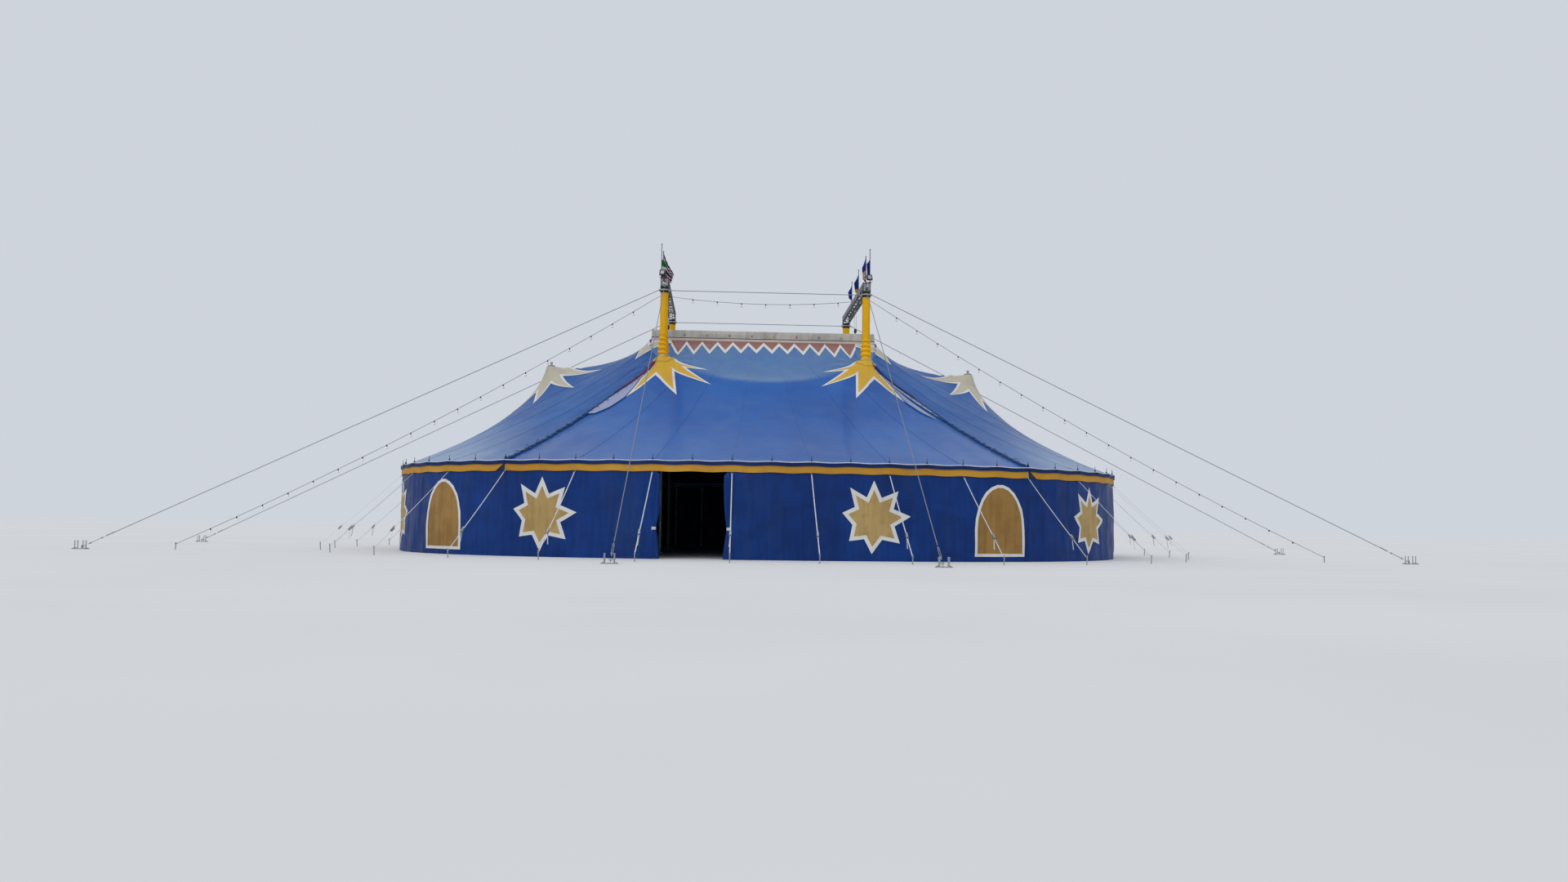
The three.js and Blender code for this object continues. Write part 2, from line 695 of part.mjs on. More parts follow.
const COVER_SLOPE = (COVER_RIDGE_Z - COVER_TOP) / (COVER_X - COVER_RIDGE_X);
const HOIST_SEAT_R = 0.04;
function hoist(x) {
  const seat = COVER_TOP + COVER_SLOPE * (COVER_X - Math.abs(x) + HOIST_SEAT_R) + GAP;
  const cable = cylinder(STAY_R, seat, HEAD_TOP, 6, x, 0);
  const block = box(0.16, 0.09, 0.26, x, 0, 11.85);
  const seatPlate = cylinder(HOIST_SEAT_R, seat, seat + 0.03, 6, x, 0);
  return join([cable, block, seatPlate]);
}

for (const [lx, sx] of [['left', -1], ['right', 1]]) {
  const x = sx * MAST_X;
  add(`header_truss_${lx}`, headerTruss(x), 'dark');
  add(`floodlight_${lx}`, floodlight(x), 'dark');
  add(`hoist_${lx}`, hoist(x), 'steel');
  FLAG_Y.forEach((y, i) => {
    const onChord = x + sx * (TRUSS_W - CHORD) / 2;
    add(`flag_${lx}_${i + 1}`, flag(onChord, y), 'flag');
  });
}

// Cupola: a hoisted frame that carries the crown of the roof, under a hipped cover

function cupolaFrame() {
  const z = CROWN_Z + GAP + FRAME_BAR / 2;
  const inset = FRAME_BAR / 2;
  const pieces = [];
  for (const s of [-1, 1]) {
    pieces.push(box(2 * FRAME_X, FRAME_BAR, FRAME_BAR, 0, s * (FRAME_Y - inset), z));
    pieces.push(box(FRAME_BAR, 2 * FRAME_Y, FRAME_BAR, s * (FRAME_X - inset), 0, z));
  }
  for (const x of FRAME_CROSS_X) pieces.push(box(FRAME_BAR, 2 * FRAME_Y, FRAME_BAR, x, 0, z));
  return join(pieces);
}
add('cupola_frame', cupolaFrame(), 'steel');

function hippedBlock(halfX, halfY, low, top, ridgeX, ridgeZ) {
  const corners = [[-1, -1], [1, -1], [1, 1], [-1, 1]];
  const points = [];
  for (const z of [low, top]) for (const [sx, sy] of corners) points.push([sx * halfX, sy * halfY, z]);
  points.push([-ridgeX, 0, ridgeZ], [ridgeX, 0, ridgeZ]);
  const faces = [[0, 2, 1], [0, 3, 2]];
  for (let i = 0; i < 4; i++) {
    const j = (i + 1) % 4;
    faces.push([i, j, j + 4], [i, j + 4, i + 4]);
  }
  faces.push([4, 5, 9], [4, 9, 8], [5, 6, 9], [6, 7, 8], [6, 8, 9], [7, 4, 8]);
  return meshFrom(points, faces);
}
const COVER_LOW = CROWN_Z + GAP;
const coverOuter = hippedBlock(COVER_X, COVER_Y, COVER_LOW, COVER_TOP, COVER_RIDGE_X, COVER_RIDGE_Z);
const coverInner = hippedBlock(COVER_X - COVER_T, COVER_Y - COVER_T, COVER_LOW - 1,
  COVER_TOP - COVER_T, COVER_RIDGE_X, COVER_RIDGE_Z - COVER_T);
add('cupola_cover', cut(coverOuter, [coverInner]), 'cover');

// Tie cables between mast heads, and light garlands that hang from the front masts

const TIE_END = MAST_X - RING_IN - RING_T - GAP;
for (const [ly, sy] of [['front', -1], ['back', 1]]) {
  const y = sy * MAST_Y;
  add(`mast_tie_${ly}`, bar([-TIE_END, y, STAY_Z], [TIE_END, y, STAY_Z], STAY_R, STAY_R, 6), 'steel');
}

// A garland leaves its sleeve level, then hangs to its other end
function garland(from, lead, to, sag, steps) {
  const points = [new THREE.Vector3(from[0] - lead, from[1], from[2])];
  for (let i = 0; i <= steps; i++) {
    const t = i / steps;
    points.push(new THREE.Vector3(
      from[0] + (to[0] - from[0]) * t, from[1] + (to[1] - from[1]) * t,
      from[2] + (to[2] - from[2]) * t - 4 * sag * t * (1 - t)));
  }
  if (to[2] === from[2]) points.push(new THREE.Vector3(to[0] + lead, to[1], to[2]));
  const shape = new THREE.Shape();
  for (let i = 0; i < 8; i++) {
    const turn = 2 * Math.PI * i / 8;
    shape[i === 0 ? 'moveTo' : 'lineTo'](GARLAND_R * Math.cos(turn), GARLAND_R * Math.sin(turn));
  }
  shape.closePath();
  return new THREE.ExtrudeGeometry(shape, {
    steps, bevelEnabled: false, extrudePath: new THREE.CatmullRomCurve3(points),
  });
}
const GARLAND_LEAD = 0.06;
const GARLAND_STEPS = 22;
const FLARE_TOP = COLLAR_Z + SLEEVE_FLARE;
const SLEEVE_AT_GARLAND = SLEEVE_TOP_R + 0.02 * (MAST_TOP - GARLAND_Z) / (MAST_TOP - FLARE_TOP);
const GARLAND_START = SLEEVE_AT_GARLAND + GAP + GARLAND_LEAD;
const garlandX = MAST_X - GARLAND_START;
add('garland_front', garland([-garlandX, -MAST_Y, GARLAND_Z], GARLAND_LEAD,
  [garlandX, -MAST_Y, GARLAND_Z], FRONT_GARLAND_SAG, GARLAND_STEPS), 'cord');

for (const [lx, sx] of [['left', -1], ['right', 1]]) {
  const peg = [sx * GARLAND_PEG[0], -GARLAND_PEG[1]];
  const line = garland([sx * (MAST_X + GARLAND_START), -MAST_Y, GARLAND_Z], sx * GARLAND_LEAD,
    [...peg, 0.25], SIDE_GARLAND_SAG, GARLAND_STEPS);
  add(`garland_${lx}`, join([line, cylinder(0.03, 0, 0.35, 6, ...peg)]), 'cord');
}

export default group;
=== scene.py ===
"""Dresses a half-size circus big top: laced roof, sleeved masts, hoisted cupola, walls and stays."""

import math

import bpy
import numpy as np
from mathutils import Matrix, Vector
from mathutils.geometry import delaunay_2d_cdt


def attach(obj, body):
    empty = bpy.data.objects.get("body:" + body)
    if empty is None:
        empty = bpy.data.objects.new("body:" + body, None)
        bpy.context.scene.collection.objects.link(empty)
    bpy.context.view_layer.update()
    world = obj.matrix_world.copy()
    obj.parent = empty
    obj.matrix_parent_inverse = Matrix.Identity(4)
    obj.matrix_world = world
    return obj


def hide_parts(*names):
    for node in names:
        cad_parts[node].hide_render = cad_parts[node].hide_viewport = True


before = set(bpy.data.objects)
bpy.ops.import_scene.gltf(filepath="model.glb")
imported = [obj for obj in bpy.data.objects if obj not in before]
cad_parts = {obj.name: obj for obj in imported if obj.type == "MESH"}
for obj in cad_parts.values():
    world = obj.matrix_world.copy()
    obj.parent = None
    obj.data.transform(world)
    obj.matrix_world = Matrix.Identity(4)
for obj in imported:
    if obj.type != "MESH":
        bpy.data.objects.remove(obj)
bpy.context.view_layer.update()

# Every length below is the real tent's, in metres, and MODEL makes it the half-size model's.
# X runs to the right and Y to the back.
MODEL = 0.5
SEED = 11

# Masts and quarter poles
MAST_X = 5.0
MAST_Y = 4.65
MAST_R = 0.14
MAST_TOP = 12.78
BASE_R = 0.35
QUARTER_X = 11.1
QUARTER_R = 0.06
QUARTER_BASE_R = 0.25
QUARTER_TOP = 9.85

# The eave: a superellipse through the side poles, which count from the front centre to the right
RIM_A = 17.8
RIM_B = 14.0
RIM_POWER = 2.5
SIDE_POLES = 64
SEAM_POLE = 7
SIDE_CENTRE = 16
BACK_CENTRE = 32
DOOR = (-3, -1)

# Roof heights
EAVE_Z = 4.04
COLLAR_Z = 9.54
QUARTER_Z = 9.6
CROWN_Z = 10.78
CROWN_X = 5.8
CROWN_Y = 2.4
CROWN_LIP = 0.35
RIDGE_SAG = 0.4
RIM_OUT = 0.12
CLOTH_T = 0.008

# Wall, valance and belt, as distances outside the line of the side poles
WALL_OUT = 0.056
WALL_TOP = 3.74
VALANCE_OUT = 0.094
VALANCE_LOW = 3.6
STRIP_OUT = 0.132
STRIP_LOW = 3.875
STRIP_TOP = 4.035
PIPING_R = 0.019
BELT_OUT = 0.145
BELT_Z = 4.046
STRAP_REACH = 3.6
STRAP_W = 0.042
STRAP_FOOT_Z = 0.285
STAKE_TOP = 0.38

# Mast tops
SLEEVE_TOP_R = 0.185
SLEEVE_LOW_R = 0.26
SLEEVE_FOOT = 9.3
HEAD_R = 0.24
HEAD_TOP = 13.05
TRUSS_W = 0.4
TRUSS_TOP = 13.5
TRUSS_END = 4.88
CHORD = 0.05
FLAG_Y = (-4.62, -3.0, 0.2, 3.4)
FLAGSTAFF_TOP = 15.25

# Cupola
COVER_X = 5.72
COVER_Y = 2.32
COVER_LOW = 10.79
COVER_TOP = 11.33
COVER_RIDGE_X = 3.3
COVER_RIDGE_Z = 11.6
BLOCK_Z = 11.85

# Stays and garlands
STAY_Z = 12.9
FRONT_ANCHOR = (30.0, 9.0)
BACK_ANCHOR = (32.5, 9.0)
STEEP_ANCHOR = (6.0, 20.0)
EYE_OFFSET = (0.03, 0.07)
GARLAND_R = 0.01
GARLAND_Z = 12.6
FRONT_SAG = 0.28
SIDE_SAG = 0.45
GARLAND_PEG = (26.3, 8.2)
GARLAND_LEAD = 0.06
GARLAND_PEG_Z = 0.25

# The photograph's camera: its place in real metres, its turn in degrees and its lens
EYE = (-2.14, -62.32, 1.5)
YAW, PITCH, ROLL = (math.radians(a) for a in (3.11, 4.02, 0.75))
SENSOR = 36.0
LENS = 27.04

ENDS = (("left", -1), ("right", 1))
FACES = (("front", -1), ("back", 1))
CORNERS = [(f"{face}_{end}", sx, sy) for end, sx in ENDS for face, sy in FACES]


# Camera and light

FAR_CLIP = 500
SKY_COLOUR = (0.86, 0.91, 1.0, 1)
SKY_STRENGTH = 0.72
SUN_COLOUR = (1.0, 0.98, 0.95)
SUN_ENERGY = 1.1
SUN_WIDTH = math.radians(70)
SUN_TURN = (math.radians(38), math.radians(-22), 0)


def added(name, data):
    """A new object of the scene."""
    made = bpy.data.objects.new(name, data)
    bpy.context.scene.collection.objects.link(made)
    return made


def make_camera():
    data = bpy.data.cameras.new("camera")
    data.sensor_width = SENSOR
    data.lens = LENS
    data.clip_end = FAR_CLIP
    forward = Vector((math.sin(YAW) * math.cos(PITCH), math.cos(YAW) * math.cos(PITCH), math.sin(PITCH)))
    level = Vector((math.cos(YAW), -math.sin(YAW), 0))
    up = level.cross(forward)
    right = level * math.cos(ROLL) + up * math.sin(ROLL)
    top = up * math.cos(ROLL) - level * math.sin(ROLL)
    turn = Matrix((right, top, -forward)).transposed().to_4x4()
    camera = added("camera", data)
    camera.matrix_world = Matrix.Translation(Vector(EYE) * MODEL) @ turn
    bpy.context.scene.camera = camera


def make_light():
    world = bpy.data.worlds.new("overcast")
    world.use_nodes = True
    sky = world.node_tree.nodes["Background"]
    sky.inputs["Color"].default_value = SKY_COLOUR
    sky.inputs["Strength"].default_value = SKY_STRENGTH
    bpy.context.scene.world = world
    bpy.context.scene.view_settings.view_transform = "Standard"
    data = bpy.data.lights.new("soft_sun", "SUN")
    data.energy = SUN_ENERGY
    data.angle = SUN_WIDTH
    data.color = SUN_COLOUR
    added("soft_sun", data).rotation_euler = SUN_TURN


make_camera()
make_light()


# Finishes: colour, roughness and bump from noise in the frame's own coordinates

class Finish:
    def __init__(self, name, roughness=0.5, metallic=0.0, coat=0.0, shine=0.5):
        self.material = bpy.data.materials.new(name)
        self.material.use_nodes = True
        self.tree = self.material.node_tree
        self.shader = self.tree.nodes["Principled BSDF"]
        even = {"Roughness": roughness, "Metallic": metallic, "Coat Weight": coat,
                "Coat Roughness": 0.15, "Coat IOR": 1.33, "Specular IOR Level": shine}
        for socket, value in even.items():
            self.shader.inputs[socket].default_value = value
        self.place = self.node("ShaderNodeTexCoord").outputs["Object"]
        self.height = None

    def node(self, kind, values=None, **settings):
        made = self.tree.nodes.new(kind)
        for key, value in settings.items():
            setattr(made, key, value)
        for key, value in (values or {}).items():
            if isinstance(value, bpy.types.NodeSocket):
                self.tree.links.new(value, made.inputs[key])
            else:
                made.inputs[key].default_value = value
        return made

    def noise(self, scale, detail=4.0, rough=0.55, stretch=(1, 1, 1)):
        place = self.node("ShaderNodeMapping", {"Vector": self.place, "Scale": stretch}).outputs[0]
        values = {"Vector": place, "Scale": scale, "Detail": detail, "Roughness": rough}
        return self.node("ShaderNodeTexNoise", values).outputs["Fac"]

    def coordinates(self):
        return self.node("ShaderNodeSeparateXYZ", {"Vector": self.place}).outputs

    def spread(self, value, low, high, start=0.0, end=1.0):
        values = {"Value": value, "From Min": low, "From Max": high, "To Min": start, "To Max": end}
        return self.node("ShaderNodeMapRange", values).outputs[0]

    def maths(self, operation, a, b=0.0):
        return self.node("ShaderNodeMath", {0: a, 1: b}, operation=operation).outputs[0]

    def mix(self, share, a, b):
        """Colour a where share is 0 and colour b where it is 1."""
        a, b = ((*shade, 1) if isinstance(shade, tuple) else shade for shade in (a, b))
        return self.node("ShaderNodeMix", {0: share, 6: a, 7: b}, data_type="RGBA").outputs[2]

    def set(self, name, value):
        self.tree.links.new(value, self.shader.inputs[name])

    def bump(self, height, distance, strength=1.0):
        values = {"Height": height, "Distance": distance * MODEL, "Strength": strength}
        if self.height is not None:
            values["Normal"] = self.height
        self.height = self.node("ShaderNodeBump", values).outputs["Normal"]
        self.set("Normal", self.height)


def weave(finish, pitch):
    """Threads along and across, as a height."""
    threads = []
    for turned in ("X", "Y", "Z"):
        values = {"Vector": finish.place, "Scale": 1 / (2 * pitch * MODEL), "Distortion": 0.3}
        threads.append(finish.node("ShaderNodeTexWave", values, bands_direction=turned).outputs["Fac"])
    return finish.maths("ADD", finish.maths("MULTIPLY", threads[0], threads[1]), threads[2])


# Painted sheen: low down, the roof is painted pale where the sky's glare would show, and at its ends more
# than in the middle
SHEEN_LOW = 4.3
SHEEN_IN, SHEEN_OUT = 10.5, 13.2
GLARE_HIGH = 6.4

# A fold bulges outwards from mast to mast, where the flat upper cloth turns to the steep lower cloth
CREASE_OUT = 6.92
CREASE_BEND = 0.105

# How dark the painted shade in a cloth's small creases is
PAINTED_CREASE_SHADE = 0.3


def painted_sheen_low(finish, shade, streak, pale, top, share, middle):
    """Painted sheen: cloth painted pale low down, up to a height, where the sky's glare would show. Near the
    tent's middle it is less so.
    """
    x, _, height = finish.coordinates()
    low = finish.spread(height, SHEEN_LOW * MODEL, top * MODEL, share, 0.0)
    if middle < 1:
        aside = finish.spread(finish.maths("ABSOLUTE", x), SHEEN_IN * MODEL, SHEEN_OUT * MODEL, middle, 1.0)
        low = finish.maths("MULTIPLY", low, aside)
    patchy = finish.spread(streak, 0.3, 0.7, 0.75, 1.0)
    return finish.mix(finish.maths("MULTIPLY", low, patchy), shade, pale)


def painted_sheen_above(finish, shade, streak, pale, coat):
    """Painted sheen: cloth painted paler above the roof's fold, where the sky's reflection would show. Its
    coat shines most there and low down.
    """
    x, y, height = finish.coordinates()
    bend = finish.maths("MULTIPLY", finish.maths("MULTIPLY", x, x), CREASE_BEND / MODEL)
    past = finish.maths("ADD", finish.maths("ABSOLUTE", y), bend)
    above = finish.spread(past, (CREASE_OUT + 0.1) * MODEL, (CREASE_OUT - 0.4) * MODEL)
    low = finish.spread(height, SHEEN_LOW * MODEL, GLARE_HIGH * MODEL, 0.35, 0.0)
    glare = finish.maths("MAXIMUM", above, low)
    finish.set("Coat Weight", finish.spread(glare, 0.0, 1.0, 0.45 * coat, coat))
    patchy = finish.spread(streak, 0.3, 0.7, 0.12, 0.3)
    return finish.mix(finish.maths("MULTIPLY", above, patchy), shade, pale)


def creases_with_painted_shade(finish, shade, deep, depth):
    """Small creases as bumps, with painted shade: the cloth is painted darker in them."""
    upright = finish.noise(4.6, 2.0, 0.5, (2.2, 2.2, 0.22))
    slanted = finish.noise(2.2, 2.0, 0.5, (0.9, 0.9, 1.5))
    folds = finish.maths("MULTIPLY", upright, slanted)
    finish.bump(folds, depth)
    # The painted shade's colour in the creases
    dark = tuple(0.4 * part for part in deep)
    return finish.mix(finish.spread(folds, 0.17, 0.30, PAINTED_CREASE_SHADE, 0.0), shade, dark)


def cloth(name, light, deep, dirt, roughness=(0.35, 0.55), coat=0.0, stain=0.35, wrinkle=0.012, pitch=0.006,
          sheen_low=None, sheen_above=None, creased=0.0):
    """Coated tent cloth: two shades, dirt in streaks that run down, soft wrinkles and a fine weave. It may
    have painted sheen low down (colour, height where that ends, share, share near the middle), painted sheen
    above the roof's fold in a colour, and creases to a depth, with painted shade in them."""
    finish = Finish(name, coat=coat, shine=0.15)
    shade = finish.mix(finish.spread(finish.noise(0.55), 0.35, 0.65), light, deep)
    streak = finish.noise(1.1, 6.0, 0.62, (2.6, 2.6, 0.45))
    shade = finish.mix(finish.spread(streak, 0.52, 0.8, 0.0, stain), shade, dirt)
    speckle = finish.noise(26.0, 2.0)
    shade = finish.mix(finish.spread(speckle, 0.66, 0.8, 0.0, stain), shade, dirt)
    if sheen_low:
        shade = painted_sheen_low(finish, shade, streak, *sheen_low)
    if sheen_above:
        shade = painted_sheen_above(finish, shade, streak, sheen_above, coat)
    if creased:
        shade = creases_with_painted_shade(finish, shade, deep, creased)
    finish.set("Base Color", shade)
    finish.set("Roughness", finish.spread(finish.noise(1.7, 5.0), 0.35, 0.65, *roughness))
    finish.bump(finish.noise(2.4, 5.0, 0.6, (1, 1, 0.6)), wrinkle)
    finish.bump(finish.noise(11.0, 3.0), wrinkle * 0.18)
    finish.bump(weave(finish, pitch), 0.0006, 0.4)
    return finish.material


def metal(name, light, deep, roughness=(0.35, 0.6), metallic=0.85, rust=0.15):
    """Galvanised or painted steel: spangle, dull patches and a little rust in the low spots."""
    finish = Finish(name, metallic=metallic)
    cells = finish.node("ShaderNodeTexVoronoi", {"Vector": finish.place, "Scale": 70.0}).outputs["Distance"]
    shade = finish.mix(finish.spread(cells, 0.1, 0.7), light, deep)
    worn = finish.noise(7.0, 6.0, 0.65)
    shade = finish.mix(finish.spread(worn, 0.58, 0.78, 0.0, rust), shade, (0.23, 0.12, 0.06))
    finish.set("Base Color", shade)
    finish.set("Roughness", finish.spread(finish.noise(9.0), 0.35, 0.65, *roughness))
    finish.bump(finish.noise(60.0, 3.0), 0.0012, 0.6)
    return finish.material


def plain(name, light, deep, roughness=(0.4, 0.6), scale=14.0, height=0.0015):
    """Rubber, webbing, rope and the like: two shades and a grain."""
    finish = Finish(name)
    finish.set("Base Color", finish.mix(finish.spread(finish.noise(scale), 0.35, 0.65), light, deep))
    finish.set("Roughness", finish.spread(finish.noise(scale * 0.6), 0.35, 0.65, *roughness))
    finish.bump(weave(finish, 0.008), height, 0.6)
    return finish.material


def lamp_glass(name, colour, glow):
    finish = Finish(name, roughness=0.12, coat=0.5)
    shade = finish.mix(finish.spread(finish.noise(30.0), 0.4, 0.6), colour, tuple(0.8 * c for c in colour))
    finish.set("Base Color", shade)
    finish.shader.inputs["Emission Color"].default_value = (*colour, 1)
    finish.shader.inputs["Emission Strength"].default_value = glow
    return finish.material


# Roof blue with painted sheen: pale low down and above the roof's fold, where the sky's glare would show
BLUE = cloth("roof_blue", (0.006, 0.098, 0.37), (0.003, 0.072, 0.31), (0.09, 0.12, 0.19), (0.45, 0.6), 1.0,
             0.28, 0.009, sheen_low=((0.26, 0.33, 0.47), 6.4, 0.12, 1.0), sheen_above=(0.07, 0.24, 0.26))
# The left and right canopies' blue, with painted sheen: pale low down, where the sky's glare would show
SIDE_BLUE = cloth("side_roof_blue", (0.005, 0.092, 0.33), (0.002, 0.066, 0.27), (0.06, 0.10, 0.18),
                  (0.45, 0.6), 0.2, 0.24, 0.009, sheen_low=((0.29, 0.38, 0.51), 6.6, 0.88, 0.25))
ROOF_BLUE = {"front": BLUE, "back": BLUE, "left": SIDE_BLUE, "right": SIDE_BLUE}
# The seams' loose flap cloth: the roof's blue painted pale, a painted highlight where the raised flap catches
# the light
FLAP_SHEEN_BLUE = cloth("flap_blue_painted_sheen", (0.28, 0.32, 0.48), (0.20, 0.25, 0.43), (0.16, 0.18, 0.27), (0.4, 0.55), 0.7)
DEEP_BLUE = cloth("edge_blue", (0.006, 0.024, 0.12), (0.003, 0.014, 0.08), (0.03, 0.04, 0.07), (0.45, 0.65))
SEAM_BLUE = cloth("seam_blue", (0.012, 0.085, 0.30), (0.008, 0.06, 0.22), (0.03, 0.045, 0.08), (0.45, 0.65))
WALL_BLUE = cloth("wall_blue", (0.002, 0.037, 0.20), (0.001, 0.025, 0.145), (0.025, 0.04, 0.07), (0.4, 0.6),
                  0.06, 0.45, 0.03, creased=0.03)
YELLOW = cloth("valance_yellow", (0.54, 0.29, 0.035), (0.44, 0.21, 0.022), (0.25, 0.16, 0.07), (0.45, 0.65),
               stain=0.5)
SLEEVE = cloth("sleeve_yellow", (0.80, 0.44, 0.004), (0.70, 0.34, 0.003), (0.46, 0.21, 0.006), (0.4, 0.6),
               stain=0.3, wrinkle=0.02)
GOLD = cloth("star_gold", (0.62, 0.38, 0.035), (0.54, 0.31, 0.022), (0.36, 0.25, 0.09), (0.4, 0.55), 0.3,
             stain=0.45)
WALL_GOLD = cloth("wall_gold", (0.46, 0.32, 0.125), (0.40, 0.265, 0.095), (0.20, 0.15, 0.08), (0.42, 0.62),
                  stain=0.55, wrinkle=0.035, creased=0.04)
ARCH_GOLD = cloth("arch_gold", (0.33, 0.19, 0.056), (0.27, 0.15, 0.040), (0.15, 0.10, 0.045), (0.42, 0.62),
                  stain=0.6, wrinkle=0.035, creased=0.05)
BEIGE = cloth("star_beige", (0.50, 0.46, 0.36), (0.43, 0.39, 0.30), (0.27, 0.24, 0.19), (0.42, 0.6), 0.3, 0.5)
BURGUNDY = cloth("tooth_burgundy", (0.28, 0.13, 0.12), (0.22, 0.095, 0.088), (0.34, 0.24, 0.22), (0.4, 0.6),
                 coat=0.3)
LINING = cloth("flap_lining", (0.20, 0.022, 0.05), (0.14, 0.014, 0.04), (0.08, 0.02, 0.05), (0.5, 0.7))
WHITE = cloth("trim_white", (0.68, 0.67, 0.64), (0.60, 0.59, 0.56), (0.36, 0.35, 0.32), (0.4, 0.6), 0.2, 0.5)
COVER = cloth("cover_white", (0.52, 0.49, 0.44), (0.42, 0.405, 0.37), (0.20, 0.20, 0.18), (0.42, 0.62),
              stain=0.8, wrinkle=0.05, creased=0.04)
HEM = cloth("hem_beige", (0.50, 0.44, 0.37), (0.42, 0.35, 0.30), (0.22, 0.19, 0.17), (0.45, 0.65), stain=0.6,
            wrinkle=0.03)
WEBBING = plain("webbing_white", (0.58, 0.60, 0.63), (0.45, 0.47, 0.50), (0.6, 0.8))
# A pale edge rope along the eave: a painted highlight, where the eave's top catches the light
PIPING = plain("piping_painted_highlight", (0.58, 0.62, 0.70), (0.46, 0.51, 0.60), (0.6, 0.8))
LACING = plain("lacing_navy", (0.04, 0.06, 0.13), (0.026, 0.04, 0.09), (0.6, 0.8), 40.0, 0.004)
ROPE = plain("rope_dark", (0.012, 0.016, 0.035), (0.006, 0.009, 0.02), (0.6, 0.8), 40.0, 0.004)
CABLE = plain("lamp_cable", (0.13, 0.13, 0.14), (0.08, 0.08, 0.088), (0.5, 0.7), 30.0)
STEEL = metal("galvanised", (0.42, 0.44, 0.45), (0.30, 0.32, 0.33))
STAY_STEEL = metal("stay_wire", (0.30, 0.31, 0.33), (0.21, 0.22, 0.23), metallic=0.4)
POLE_STEEL = metal("pole_steel", (0.44, 0.46, 0.48), (0.32, 0.34, 0.36), rust=0.35)
RAIL_STEEL = metal("rail_grey", (0.19, 0.193, 0.197), (0.12, 0.123, 0.127), metallic=0.2)
END_STEEL = metal("end_grey", (0.30, 0.305, 0.31), (0.20, 0.205, 0.21), metallic=0.3)
TRUSS_STEEL = metal("truss_grey", (0.08, 0.085, 0.088), (0.045, 0.048, 0.05), metallic=0.2)
DARK_STEEL = metal("dark_steel", (0.032, 0.036, 0.038), (0.018, 0.02, 0.021), metallic=0.2)
LAMP_BLACK = plain("lamp_black", (0.03, 0.03, 0.032), (0.018, 0.018, 0.02), (0.35, 0.5), 20.0)
GLASS = lamp_glass("lamp_front", (0.40, 0.43, 0.44), 0.0)
BULB = lamp_glass("bulb_white", (0.85, 0.84, 0.78), 0.1)


# Meshes: each part is (points, faces) in real metres, and a piece joins its parts

def in_frame(made, replaces):
    """Rides an object on the frame's one body, and hides the nodes that it stands for."""
    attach(made, "root")
    if replaces:
        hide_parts(*replaces)
    return made


def piece(name, parts, material, replaces=(), sharp=40.0, paints=None):
    """One object from its parts. Where material is a list, paints has each face's place in it."""
    points, faces, start = [], [], 0
    for some_points, some_faces in parts:
        points.append(some_points)
        faces += [tuple(int(i) + start for i in face) for face in some_faces]
        start += len(some_points)
    mesh = bpy.data.meshes.new(name)
    mesh.from_pydata((np.vstack(points) * MODEL).tolist(), [], faces)
    for used in material if isinstance(material, list) else [material]:
        mesh.materials.append(used)
    if paints:
        mesh.polygons.foreach_set("material_index", paints)
    mesh.shade_smooth()
    mesh.set_sharp_from_angle(angle=math.radians(sharp))
    return in_frame(added(name, mesh), replaces)


def unit(v):
    v = np.asarray(v, float)
    return v / np.linalg.norm(v, axis=-1, keepdims=True)


def turns(count):
    """Even angles round a circle."""
    return np.arange(count) * 2 * math.pi / count


def level_ring(centre, angles, wide, deep):
    """Points round a level oval."""
    x, y, z = centre
    return np.column_stack([x + wide * np.cos(angles), y + deep * np.sin(angles), np.full(len(angles), z)])


def loft(rings, capped=True, looped=False):
    """Faces through rings of the same number of points. In a loop, the last ring joins the first."""
    n, count = len(rings[0]), len(rings)
    faces = []
    for r in range(count if looped else count - 1):
        here, there = r * n, (r + 1) % count * n
        faces += [(here + i, here + (i + 1) % n, there + (i + 1) % n, there + i) for i in range(n)]
    if capped and not looped:
        faces += [tuple(range(n))[::-1], tuple(range((count - 1) * n, count * n))]
    return np.vstack(rings), faces


def block(size, centre):
    square = np.array([(-1, -1, 0), (1, -1, 0), (1, 1, 0), (-1, 1, 0)])
    return loft([(square + (0, 0, z)) * np.array(size) / 2 + centre for z in (-1, 1)])


def tube(path, radius, sides=8):
    """A tube along a path, with its section carried along without twist."""
    path = np.asarray(path, float)
    along = unit(np.gradient(path, axis=0))
    side = np.cross(along[0], (0, 0, 1) if abs(along[0][2]) < 0.9 else (1, 0, 0))
    rings = []
    angles = turns(sides)
    for spot, ahead, r in zip(path, along, np.broadcast_to(radius, len(path))):
        side = unit(side - ahead * (side @ ahead))
        other = np.cross(ahead, side)
        rings.append(spot - r * (np.outer(np.cos(angles), side) + np.outer(np.sin(angles), other)))
    return loft(rings)


def band(path, width, thickness, upright=(1.0, 0, 0)):
    """A flat strip along a path, its width level. Where the path is upright, the width lies along upright."""
    path = np.asarray(path, float)
    along = unit(np.gradient(path, axis=0))
    level = np.cross(along, (0, 0, 1))
    level[np.linalg.norm(level, axis=1) < 1e-6] = upright
    level = unit(level)
    up = np.cross(level, along)
    return loft([p + np.array([-w - u, w - u, w + u, -w + u])
                 for p, w, u in zip(path, level * width / 2, up * thickness / 2)])


def spun(profile, centre=(0, 0, 0), sides=24):
    """A closed profile of (radius, height) turned about a vertical axis."""
    return loft([level_ring(np.array(centre) + (0, 0, z), turns(sides), r, r) for r, z in profile])


def moved(part, turn, offset):
    points, faces = part
    return points @ turn.T + offset, faces


def about_z(angle):
    c, s = math.cos(angle), math.sin(angle)
    return np.array([(c, -s, 0), (s, c, 0), (0, 0, 1)])


